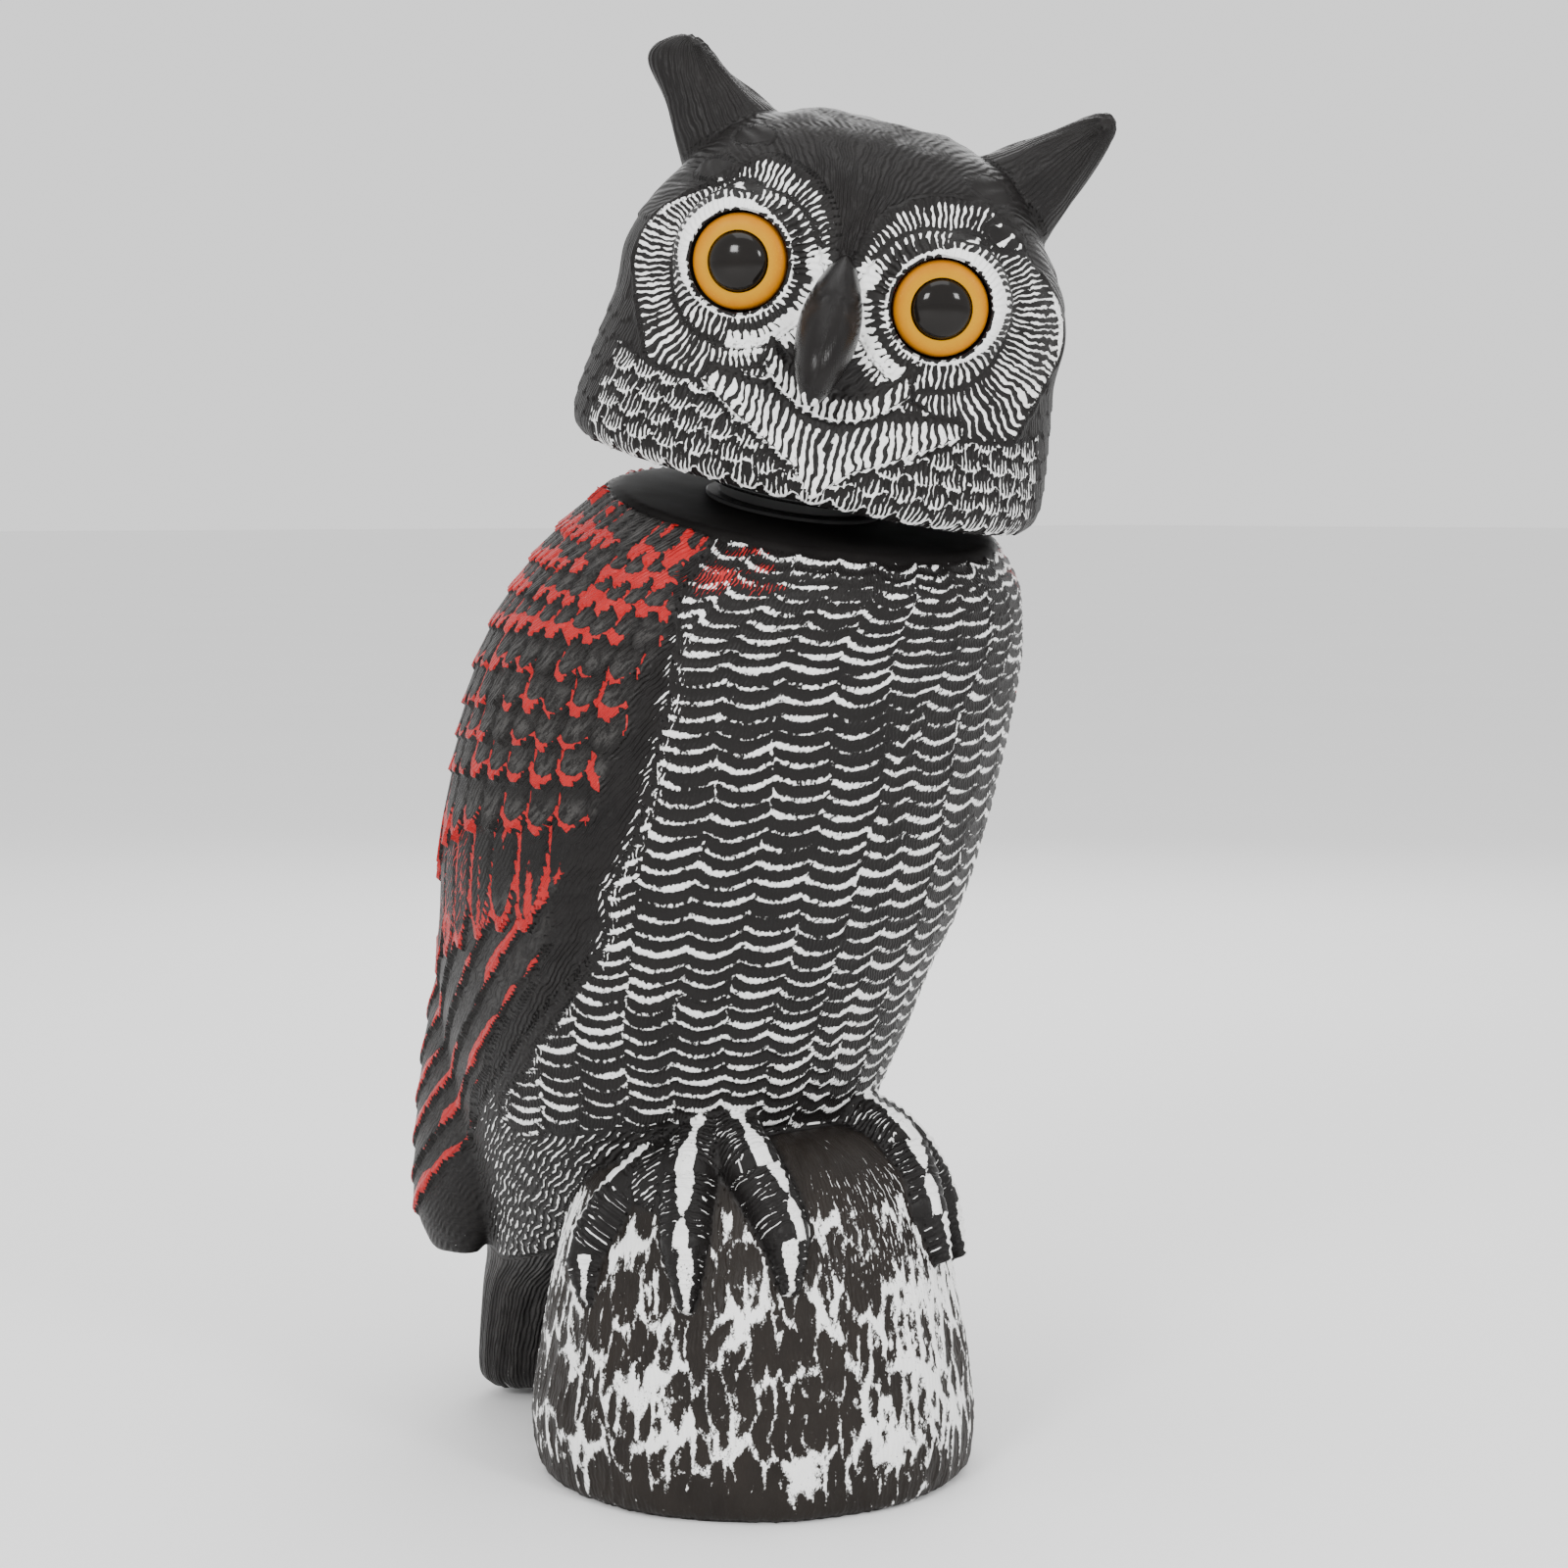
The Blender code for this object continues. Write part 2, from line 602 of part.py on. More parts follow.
def make_head(material):
    rings = []
    for z, front, back, width in HEAD_SECTIONS:
        rings.append(leaning_ring(z, front, z, back, width, RING_SIDES, 0.0, FACE_FLATNESS))
    head = add_mesh("head_shell", loft("head_shell", rings), OWL, material, head_frame())
    for side, sign in (("right", -1.0), ("left", 1.0)):
        ear = []
        for x, y, z, half_width, half_depth in EAR_SECTIONS:
            lean = Vector((EAR_LEAN[0], 0.0, EAR_LEAN[1] * sign)) * half_width
            front = Vector((0.0, -half_depth, 0.0))
            ear.append(oval(Vector((sign * x, y, z)), front, lean, EAR_SIDES))
        name = f"ear_{side}"
        boolean(head, cutter(name, loft(name, ear), head_frame()), "UNION")
    beak = []
    for z, ridge, root, width in BEAK_SECTIONS:
        beak.append(leaning_ring(z, ridge, z, root, width, BEAK_SIDES))
    boolean(head, cutter("beak", loft("beak", beak), head_frame()), "UNION")
    boolean(head, head_hollow(), "DIFFERENCE")
    recess = cylinder("recess", RECESS_RADIUS, -THROUGH, RECESS_DEPTH, RING_SIDES)
    boolean(head, cutter("recess", recess, head_frame()), "DIFFERENCE")
    hole = cylinder("ceiling_hole", CEILING_HOLE_RADIUS, 0.0, RECESS_DEPTH + 2.0 * CEILING)
    boolean(head, cutter("ceiling_hole", hole, head_frame()), "DIFFERENCE")
    for side, sign in (("right", -1.0), ("left", 1.0)):
        name = f"eye_pocket_{side}"
        pocket = cylinder(name, EYE_HOLE_RADIUS, -EYE_POCKET, THROUGH)
        boolean(head, cutter(name, pocket, eye_frame(sign)), "DIFFERENCE")
        name = f"eye_stem_hole_{side}"
        stem = cylinder(name, EYE_STEM_RADIUS + GAP, -EYE_POCKET - EYE_STEM, THROUGH)
        boolean(head, cutter(name, stem, eye_frame(sign)), "DIFFERENCE")
    for i in range(SEAT_SCREWS):
        boolean(head, seat_screw_hole(f"seat_screw_hole_{i + 1}", i), "DIFFERENCE")
    smooth(head)


def seat_screw_frame(index):
    """The first screw is at the back of the head, the others evenly round from it."""
    turn = Matrix.Rotation(math.pi / 2.0 + 2.0 * math.pi * index / SEAT_SCREWS, 4, "Z")
    return head_frame() @ turn @ Matrix.Translation((SEAT_SCREW_CIRCLE, 0.0, 0.0))


def seat_screw_hole(name, index):
    radius = SEAT_SCREW_SHANK_RADIUS + GAP
    hole = cylinder(name, radius, 0.0, RECESS_DEPTH + 2.0 * CEILING, SCREW_STEPS)
    return cutter(name, hole, seat_screw_frame(index))


def make_upper_seat(seat_plastic, steel):
    """The head's spring seat, upside down under the recess's ceiling, on three screws."""
    flip = Matrix.Rotation(math.pi, 4, "X")
    place = head_frame() @ Matrix.Translation((0.0, 0.0, RECESS_DEPTH - GAP)) @ flip
    outline = spring_seat_outline(CEILING_HOLE_RADIUS)
    seat = turned("upper_spring_seat", outline, OWL, seat_plastic, place)
    under = Matrix.Translation((0.0, 0.0, RECESS_DEPTH - GAP - SEAT_WEB - GAP)) @ flip
    screw = pan_screw_outline(SEAT_SCREW_SHANK_RADIUS, SEAT_SCREW_HEAD_RADIUS, SEAT_SCREW_LENGTH)
    for i in range(SEAT_SCREWS):
        boolean(seat, seat_screw_hole(f"seat_hole_{i + 1}", i), "DIFFERENCE")
        frame = seat_screw_frame(i) @ under
        smooth(turned(f"seat_screw_{i + 1}", screw, OWL, steel, frame, SCREW_STEPS))
    smooth(seat)


def make_eyes(amber, black):
    floor = -EYE_POCKET + GAP
    stem_end = -EYE_POCKET - EYE_STEM
    cup = PUPIL_RADIUS + GAP
    iris = [
        (0.0, IRIS_CUP_FLOOR),
        (cup, IRIS_CUP_FLOOR),
        (cup, IRIS_LIP),
        (cup + 2.0 * IRIS_LIP, 2.5 * IRIS_LIP),
    ]
    iris += [(IRIS_RADIUS - inset, height) for inset, height in IRIS_ROUNDING]
    iris += [
        (IRIS_RADIUS, floor),
        (EYE_STEM_RADIUS, floor),
        (EYE_STEM_RADIUS, stem_end + EYE_STEM_CHAMFER),
        (EYE_STEM_RADIUS - EYE_STEM_CHAMFER, stem_end),
        (0.0, stem_end),
    ]
    dome = []
    for i in range(PUPIL_STEPS + 1):
        angle = math.pi / 2.0 * i / PUPIL_STEPS
        height = PUPIL_EDGE + PUPIL_DOME * math.cos(angle)
        dome.append((PUPIL_RADIUS * math.sin(angle), height))
    dome += [(PUPIL_RADIUS, PUPIL_FOOT), (0.0, PUPIL_FOOT)]
    for side, sign in (("right", -1.0), ("left", 1.0)):
        smooth(turned(f"eye_iris_{side}", iris, OWL, amber, eye_frame(sign)))
        smooth(turned(f"eye_pupil_{side}", dome, OWL, black, eye_frame(sign)))


# ---------------------------------------------------------------- build
def main():
    moulded = plastic("moulded_black", (0.045, 0.042, 0.042), 0.45)
    satin_black = plastic("seat_black", (0.02, 0.02, 0.02), 0.5)
    nylon = plastic("nylon_white", (0.6, 0.6, 0.56), 0.45)
    soft = plastic("plug_black", (0.03, 0.03, 0.03), 0.7)
    steel = plastic("zinc_steel", (0.55, 0.56, 0.58), 0.35, 1.0)
    wire = plastic("spring_black", (0.02, 0.02, 0.02), 0.2)
    amber = plastic("eye_amber", (0.80, 0.36, 0.02), 0.35)
    gloss = plastic("eye_black", (0.02, 0.018, 0.016), 0.05)
    make_body(moulded)
    make_plug(soft)
    make_neck(nylon, satin_black, steel, wire)
    make_head(moulded)
    make_upper_seat(satin_black, steel)
    make_eyes(amber, gloss)


clear_scene()
OWL = new_collection("owl_decoy")
CUTTERS = new_collection("cutters")
main()
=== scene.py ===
"""Looks of a moulded owl decoy on a rock base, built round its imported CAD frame.

Metres, +Z up; the owl's chest faces -Y and its right side is -X.  The patterns of
the moulding and its paint are worked out in millimetres on dense skins of the body
and the head, and kept as named fields that the materials read.
"""

import math

import bmesh
import bpy
import numpy as np
from mathutils import Matrix, Vector


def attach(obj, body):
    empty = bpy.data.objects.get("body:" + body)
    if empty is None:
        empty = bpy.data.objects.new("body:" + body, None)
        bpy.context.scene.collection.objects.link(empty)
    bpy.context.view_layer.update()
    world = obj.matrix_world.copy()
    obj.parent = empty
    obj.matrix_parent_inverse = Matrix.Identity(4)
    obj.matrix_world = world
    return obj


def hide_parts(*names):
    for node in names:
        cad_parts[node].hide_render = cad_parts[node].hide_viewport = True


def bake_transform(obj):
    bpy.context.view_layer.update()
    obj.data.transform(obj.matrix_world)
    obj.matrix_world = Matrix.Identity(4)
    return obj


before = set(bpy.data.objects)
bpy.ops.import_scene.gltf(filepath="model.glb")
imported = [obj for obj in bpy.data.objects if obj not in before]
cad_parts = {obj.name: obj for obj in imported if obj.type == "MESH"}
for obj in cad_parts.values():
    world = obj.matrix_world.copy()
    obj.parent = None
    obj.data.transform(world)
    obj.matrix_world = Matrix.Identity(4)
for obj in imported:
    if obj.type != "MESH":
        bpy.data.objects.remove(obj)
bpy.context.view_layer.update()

# ---------------------------------------------------------------- body sizes, close to the CAD
MM = 1000.0
GAP = 0.0003
ROCK_OUTLINE = (
    (0.018, 0.1010), (0.034, 0.0970), (0.046, 0.0880), (0.052, 0.0750), (0.058, 0.0500),
    (0.0615, 0.0300), (0.0630, 0.0150), (0.0622, 0.0040), (0.0600, 0.0000),
)
# front height, front depth, back height, back depth, half width
BODY_SECTIONS = (
    (0.2625, -0.0735, 0.2870, 0.0275, 0.0520), (0.2590, -0.0765, 0.2840, 0.0335, 0.0560),
    (0.2510, -0.0795, 0.2680, 0.0530, 0.0660), (0.2400, -0.0765, 0.2500, 0.0665, 0.0740),
    (0.2280, -0.0720, 0.2310, 0.0750, 0.0790), (0.2050, -0.0640, 0.2050, 0.0835, 0.0810),
    (0.1800, -0.0560, 0.1800, 0.0920, 0.0800), (0.1600, -0.0500, 0.1600, 0.0995, 0.0760),
    (0.1400, -0.0410, 0.1400, 0.1080, 0.0700), (0.1200, -0.0330, 0.1200, 0.1120, 0.0645),
    (0.1000, -0.0220, 0.1000, 0.1100, 0.0590), (0.0800, -0.0050, 0.0800, 0.1085, 0.0515),
    (0.0600, 0.0250, 0.0600, 0.1090, 0.0410), (0.0480, 0.0500, 0.0480, 0.1110, 0.0335),
    (0.0350, 0.0700, 0.0350, 0.1130, 0.0305), (0.0100, 0.0800, 0.0100, 0.1145, 0.0295),
    (0.0030, 0.0860, 0.0030, 0.1120, 0.0240),
)
# height, centre x, centre y, half width across, half depth
WING_TIP_SECTIONS = (
    (0.1500, 0.0460, 0.0560, 0.0110, 0.0290), (0.1250, 0.0445, 0.0670, 0.0125, 0.0290),
    (0.1000, 0.0430, 0.0790, 0.0120, 0.0255), (0.0800, 0.0420, 0.0870, 0.0112, 0.0220),
    (0.0620, 0.0415, 0.0935, 0.0100, 0.0165), (0.0500, 0.0405, 0.0955, 0.0060, 0.0100),
)
TAIL_WEB = ((-0.013, 0.050, 0.014), (0.013, 0.088, 0.100))
TOES = (
    (((-0.026, -0.010, 0.098), (-0.045, -0.002, 0.085), (-0.055, 0.005, 0.069),
      (-0.059, 0.001, 0.056)), (0.0085, 0.0075, 0.0060, 0.0022)),
    (((-0.026, -0.012, 0.100), (-0.0385, -0.021, 0.091), (-0.046, -0.028, 0.075),
      (-0.050, -0.034, 0.058)), (0.0090, 0.0078, 0.0062, 0.0022)),
    (((-0.022, -0.016, 0.101), (-0.026, -0.034, 0.093), (-0.025, -0.046, 0.078),
      (-0.028, -0.052, 0.063)), (0.0085, 0.0078, 0.0064, 0.0024)),
)
FOOT_PAD = ((-0.0335, -0.0150, 0.0870), (0.0180, 0.0135, 0.0130))     # centre, half sizes
FOOT_PAD_TURN = math.radians(30.0)
TOE_SWELL = 1.02
FILL_CENTRE = Vector((0.0, 0.024, 0.0))
FILL_HOLE_RADIUS = 0.0150
FILL_HOLE_DEPTH = 0.034
PLUG_FLANGE_RADIUS = 0.0188
PLUG_SEAT_DEPTH = 0.0020

# ---------------------------------------------------------------- neck and head sizes
PLATE_TILT = math.radians(13.65)
PLATE_NORMAL = np.array((0.0, -math.sin(PLATE_TILT), math.cos(PLATE_TILT)))
PIVOT = Vector((0.0, -0.0179, 0.2760))
PLATE_SNAP_RADIUS = 0.047
BUSH_FLANGE_RADIUS = 0.0110
BUSH_SEAT_DEPTH = 0.0020
BUSH_RADIUS = 0.0067
BUSH_HOLE_DEPTH = 0.0165
SPRING_RADIUS = 0.0225
WIRE_RADIUS = 0.0010
SPRING_TURNS = 7.0
SPRING_STRAIGHT = 0.009
SEAT_FLANGE_RADIUS = 0.0245
SEAT_FLANGE = 0.0012
SEAT_BOSS_RADIUS = 0.0208
SEAT_BOSS = 0.0070
SEAT_BOSS_WALL = 0.0022
SEAT_WEB = 0.0020
LOWER_SEAT_BORE = 0.0025
UPPER_SEAT_BORE = 0.0080

HEAD_TURN = math.radians(41.0)
HEAD_LEAN_FORWARD = math.radians(13.5)
HEAD_LEAN_LEFT = math.radians(5.87)
RIM_CENTRE = Vector((0.0010, -0.0215, 0.2838))
RECESS_RADIUS = 0.0590
RECESS_DEPTH = 0.0250
CEILING_HOLE_DEPTH = 0.012
# height, front depth, back depth, half width
HEAD_SECTIONS = (
    (0.0000, -0.0590, 0.0590, 0.0615), (0.0035, -0.0635, 0.0630, 0.0650),
    (0.0110, -0.0640, 0.0630, 0.0655), (0.0260, -0.0600, 0.0610, 0.0635),
    (0.0400, -0.0560, 0.0590, 0.0615), (0.0520, -0.0530, 0.0570, 0.0618),
    (0.0620, -0.0510, 0.0545, 0.0590), (0.0720, -0.0480, 0.0500, 0.0530),
    (0.0830, -0.0420, 0.0420, 0.0450), (0.0930, -0.0310, 0.0290, 0.0340),
    (0.0990, -0.0160, 0.0130, 0.0170),
)
FACE_FLATNESS = 0.8
EAR_PATH = (
    (0.030, 0.004, 0.076), (0.040, 0.004, 0.089), (0.050, 0.005, 0.101), (0.058, 0.007, 0.111),
    (0.060, 0.008, 0.114),
)
# half width, half depth along that path
LEFT_EAR_SIZES = (
    (0.0200, 0.0160), (0.0138, 0.0120), (0.0088, 0.0085), (0.0042, 0.0050), (0.0016, 0.0025),
)
RIGHT_EAR_SIZES = (
    (0.0200, 0.0160), (0.0150, 0.0120), (0.0100, 0.0090), (0.0078, 0.0072), (0.0040, 0.0040),
)
RIGHT_EAR_SHIFT = (0.0030, 0.0, -0.0065)     # outwards, back and up, at its tip
EAR_LEAN = (0.83, -0.55)
# height, ridge depth, root depth, half width
BEAK_SECTIONS = (
    (0.0640, -0.0530, -0.0440, 0.0015), (0.0580, -0.0600, -0.0440, 0.0050),
    (0.0480, -0.0680, -0.0440, 0.0080), (0.0380, -0.0735, -0.0460, 0.0075),
    (0.0300, -0.0740, -0.0560, 0.0045), (0.0255, -0.0725, -0.0660, 0.0015),
)
EYE_HEIGHT = 0.0560
EYE_SPACING = 0.0270
EYE_DEPTH = -0.0500
EYE_TURN_OUT = math.radians(8.0)
EYE_HOLE_RADIUS = 0.0132
EYE_POCKET = 0.0060
EYE_BOSS = (                     # radius, height
    (0.0215, -0.0110), (0.0190, -0.0050), (0.0165, -0.0012), (0.0148, 0.0004), (0.0100, 0.0004),
)
IRIS_RADIUS = 0.0126
IRIS_CUP_DEPTH = 0.0040
IRIS_LIP = 0.0003
IRIS_CROWN = 0.0010
IRIS_FALL = 0.0034
PUPIL_RADIUS = 0.0077
PUPIL_STEM = 0.0037
PUPIL_SHOULDER = 0.0008
PUPIL_DOME = 0.0034

# ---------------------------------------------------------------- mesh density
BODY_VOXEL = 0.00125
HEAD_VOXEL = 0.00090
RING_SIDES = 128
TURNED_STEPS = 96
WIRE_STEPS = 56                  # along each turn of the spring
WIRE_SIDES = 14
SEAM_JUMP = 2.0                  # strokes between neighbouring points that part two layouts
CUT_CLEAR = 0.02                 # how far a cutter stands out of the skin


# ---------------------------------------------------------------- number helpers
def frac(x):
    return x - np.floor(x)


def ramp(low, high, x):
    t = np.clip((x - low) / (high - low), 0.0, 1.0)
    return t * t * (3.0 - 2.0 * t)


def bump(x, centre, width):
    return np.exp(-(((x - centre) / width) ** 2))


def hash01(a, b=0.0, seed=0.0):
    """A random value from 0 to 1 for each pair of whole numbers."""
    return frac(np.sin(a * 12.9898 + b * 78.233 + seed * 37.719) * 43758.5453)


def noise(x, y, z=0.0, seed=0.0):
    """Smooth random values from 0 to 1 that change about once per unit of length."""
    x, y, z = np.broadcast_arrays(x, y, z)
    cells = [np.floor(axis) for axis in (x, y, z)]
    parts = [axis - cell for axis, cell in zip((x, y, z), cells)]
    parts = [part * part * (3.0 - 2.0 * part) for part in parts]
    total = np.zeros(x.shape)
    for i in range(8):
        corner = (i & 1, (i >> 1) & 1, (i >> 2) & 1)
        weight = np.ones(x.shape)
        for part, side in zip(parts, corner):
            weight *= part if side else 1.0 - part
        total += weight * hash01(cells[0] + corner[0], cells[1] + corner[1], cells[2] + corner[2] + seed)
    return total


def waver(amount, x, y, z=0.0, seed=0.0):
    """Smooth random values spread evenly about zero."""
    return amount * (noise(x, y, z, seed) - 0.5)


def columns_of(table):
    return np.array(table, float).T


def resample(table, parts):
    """Rows of a table with a smooth curve through them, cut into parts between rows."""
    rows = np.array(table, float)
    padded = np.vstack((2 * rows[0] - rows[1], rows, 2 * rows[-1] - rows[-2]))
    out = []
    for i in range(len(rows) - 1):
        a, b, c, d = padded[i : i + 4]
        bend = 2 * a - 5 * b + 4 * c - d
        twist = 3 * b - a - 3 * c + d
        for k in range(parts):
            t = k / parts
            out.append(0.5 * (2 * b + (c - a) * t + bend * t * t + twist * t**3))
    out.append(rows[-1])
    return out


# ---------------------------------------------------------------- frames
def plate_frame():
    return Matrix.Translation(PIVOT) @ Matrix.Rotation(PLATE_TILT, 4, "X")


def head_frame():
    axis = Vector((math.tan(HEAD_LEAN_LEFT), -math.tan(HEAD_LEAN_FORWARD), 1.0)).normalized()
    facing = Vector((-math.sin(HEAD_TURN), -math.cos(HEAD_TURN), 0.0))
    facing = (facing - axis * facing.dot(axis)).normalized()
    depth = -facing
    turn = Matrix((depth.cross(axis), depth, axis)).transposed().to_4x4()
    return Matrix.Translation(RIM_CENTRE) @ turn


def eye_frame(sign):
    place = Matrix.Translation((sign * EYE_SPACING, EYE_DEPTH, EYE_HEIGHT))
    outward = Matrix.Rotation(sign * EYE_TURN_OUT, 4, "Z")
    return place @ outward @ Matrix.Rotation(math.radians(90.0), 4, "X")


# ---------------------------------------------------------------- mesh helpers
def loft_into(bm, rings):
    loops = [[bm.verts.new(point) for point in ring] for ring in rings]
    sides = len(loops[0])
    made = []
    for low, high in zip(loops, loops[1:]):
        for i in range(sides):
            j = (i + 1) % sides
            made.append(bm.faces.new((low[i], low[j], high[j], high[i])))
    made.append(bm.faces.new(list(reversed(loops[0]))))
    made.append(bm.faces.new(loops[-1]))
    bmesh.ops.recalc_face_normals(bm, faces=made)


def oval(centre, front, side, sides=RING_SIDES, flatness=1.0):
    points = []
    for i in range(sides):
        angle = 2.0 * math.pi * i / sides
        reach = math.cos(angle)
        if reach > 0.0:
            reach = reach**flatness
        points.append(centre + front * reach + side * math.sin(angle))
    return points


def leaning_ring(front_z, front_y, back_z, back_y, half_width, sides=RING_SIDES, flatness=1.0):
    front = Vector((0.0, front_y, front_z))
    centre = (front + Vector((0.0, back_y, back_z))) / 2.0
    return oval(centre, front - centre, Vector((-half_width, 0.0, 0.0)), sides, flatness)


def new_object(name, mesh):
    piece = bpy.data.objects.new(name, mesh)
    bpy.context.scene.collection.objects.link(piece)
    return piece


def new_piece(name, bm):
    mesh = bpy.data.meshes.new(name)
    bm.to_mesh(mesh)
    bm.free()
    return new_object(name, mesh)


def hand_over(piece, material, body, node):
    """Gives a finished piece its material and body, and hides the CAD part that it stands for."""
    piece.data.materials.append(material)
    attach(piece, body)
    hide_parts(node)


def shade(piece, sharp):
    """Smooth shading, apart from edges sharper than an angle in degrees."""
    piece.data.shade_smooth()
    piece.data.set_sharp_from_angle(angle=math.radians(sharp))


def baked(piece):
    """The piece with its modifiers made part of its mesh."""
    graph = bpy.context.evaluated_depsgraph_get()
    mesh = bpy.data.meshes.new_from_object(piece.evaluated_get(graph))
    piece.modifiers.clear()
    piece.data = mesh
    return piece


def remeshed(name, bm, voxel, rounds):
    """One even skin round all the closed shapes in bm."""
    piece = new_piece(name, bm)
    skin = piece.modifiers.new("Skin", "REMESH")
    skin.mode = "VOXEL"
    skin.voxel_size = voxel
    soften = piece.modifiers.new("Soften", "SMOOTH")
    soften.factor = 0.5
    soften.iterations = rounds
    return baked(piece)


def points_of(mesh):
    flat = np.zeros(len(mesh.vertices) * 3)
    mesh.vertices.foreach_get("co", flat)
    return flat.reshape(-1, 3)


def normals_of(mesh):
    flat = np.zeros(len(mesh.vertices) * 3)
    mesh.vertex_normals.foreach_get("vector", flat)
    return flat.reshape(-1, 3)


def set_points(mesh, points):
    mesh.vertices.foreach_set("co", points.ravel())
    mesh.update()


def set_field(mesh, name, values):
    field = mesh.attributes.new(name, "FLOAT", "POINT")
    field.data.foreach_set("value", np.ascontiguousarray(values, dtype=np.float32))


def cut(piece, radius, bottom, top, matrix):
    """Cuts a round hole; heights are along the matrix's Z."""
    bm = bmesh.new()
    sizes = {"radius1": radius, "radius2": radius, "depth": top - bottom}
    bmesh.ops.create_cone(bm, cap_ends=True, segments=TURNED_STEPS, **sizes)
    bmesh.ops.translate(bm, vec=(0.0, 0.0, (top + bottom) / 2.0), verts=bm.verts)
    tool = new_piece("cutter", bm)
    tool.matrix_world = matrix
    bpy.context.view_layer.update()
    mod = piece.modifiers.new("Cut", "BOOLEAN")
    mod.object = tool
    mod.operation = "DIFFERENCE"
    mod.solver = "EXACT"
    baked(piece)
    bpy.data.objects.remove(tool)


def turned(name, outline, matrix):
    """A turned solid from its outline of (radius, height)."""
    bm = bmesh.new()
    angles = [2.0 * math.pi * i / TURNED_STEPS for i in range(TURNED_STEPS)]
    circle = [(math.cos(a), math.sin(a)) for a in angles]
    rows = []
    for radius, height in outline:
        if radius < 1e-6:
            rows.append([bm.verts.new((0.0, 0.0, height))])
        else:
            rows.append([bm.verts.new((radius * c, radius * s, height)) for c, s in circle])
    pairs = list(zip(rows, rows[1:]))
    if len(rows[0]) > 1:
        pairs.append((rows[-1], rows[0]))
    for low, high in pairs:
        for i in range(TURNED_STEPS):
            j = (i + 1) % TURNED_STEPS
            corners = [low[i % len(low)], low[j % len(low)], high[j % len(high)], high[i % len(high)]]
            bm.faces.new(list(dict.fromkeys(corners)))
    bmesh.ops.recalc_face_normals(bm, faces=bm.faces)
    piece = new_piece(name, bm)
    piece.data.transform(matrix)
    shade(piece, 35.0)
    return piece


# ---------------------------------------------------------------- patterns
def scales(u, v, pitch_of_row, scallop):
    """Overlapping rounded scales, one row per unit of v, each hanging over the row below.

    Gives the column and row of the scale that shows, the place across it from -0.5
    to 0.5, and the height above its rounded lower edge in rows.
    """
    row = np.floor(v)
    across = frac(u / pitch_of_row(row) + 0.5 * row) - 0.5
    row = row - (v - row < scallop * (2.0 * across) ** 2)
    shifted = u / pitch_of_row(row) + 0.5 * row
    across = frac(shifted) - 0.5
    return np.floor(shifted), row, across, v - row - scallop * (2.0 * across) ** 2


def cell_borders(a, b, seed):
    """Distance from the borders of scattered cells, one to each unit square."""
    first = np.full(a.shape, 9.0)
    second = np.full(a.shape, 9.0)
    for i in (-1.0, 0.0, 1.0):
        for j in (-1.0, 0.0, 1.0):
            cell_a = np.floor(a) + i
            cell_b = np.floor(b) + j
            seed_a = cell_a + 0.5 + 0.8 * (hash01(cell_a, cell_b, seed) - 0.5)
            seed_b = cell_b + 0.5 + 0.8 * (hash01(cell_a, cell_b, seed + 1.0) - 0.5)
            away = np.hypot(a - seed_a, b - seed_b)
            second = np.where(away < first, first, np.minimum(second, away))
            first = np.minimum(first, away)
    return (second - first) / 2.0


# ---------------------------------------------------------------- patterned skins
FIELDS = ("white", "red", "cover", "red_cover", "dry", "hair", "stroke", "run", "rock", "polish")
NO_PAINT = -5.0


class Skin:
    """An even skin round closed shapes, with the pattern fields that its material reads.

    white and red are millimetres inside the edge of solid paint.  cover and red_cover are
    how much of the hair strokes is painted, and stroke and run are places across and along
    those strokes.  dry, hair, rock and polish set brushed grey, relief, colour and gloss.
    """

    def __init__(self, name, shapes, voxel, rounds):
        self.piece = remeshed(name, shapes, voxel, rounds)
        self.mesh = self.piece.data
        self.points = points_of(self.mesh)
        self.x, self.y, self.z = (self.points * MM).T
        self.rise = np.zeros(len(self.points))
        self.fields = {name: np.zeros(len(self.points)) for name in FIELDS}
        for paint in ("white", "red"):
            self.fields[paint] += NO_PAINT

    def lay(self, where, **layout):
        """Sets fields on one part of the skin."""
        for name, values in layout.items():
            self.fields[name] = np.where(where, values, self.fields[name])

    def raise_to(self, name, values):
        self.fields[name] = np.maximum(self.fields[name], values)

    def calm_seams(self, *names):
        """Zeroes fields wherever the stroke pattern jumps from one layout to another."""
        stroke = self.fields["stroke"]
        ends = np.zeros(len(self.mesh.edges) * 2, dtype=np.int32)
        self.mesh.edges.foreach_get("vertices", ends)
        ends = ends.reshape(-1, 2)
        jump = ends[np.abs(stroke[ends[:, 0]] - stroke[ends[:, 1]]) > SEAM_JUMP]
        for name in names:
            self.fields[name][jump] = 0.0

    def emboss(self):
        """Moves the skin along its normals by the rise of the pattern."""
        self.points = self.points + normals_of(self.mesh) * (self.rise / MM)[:, None]

    def store(self):
        set_points(self.mesh, self.points)
        for name in FIELDS:
            set_field(self.mesh, name, self.fields[name])


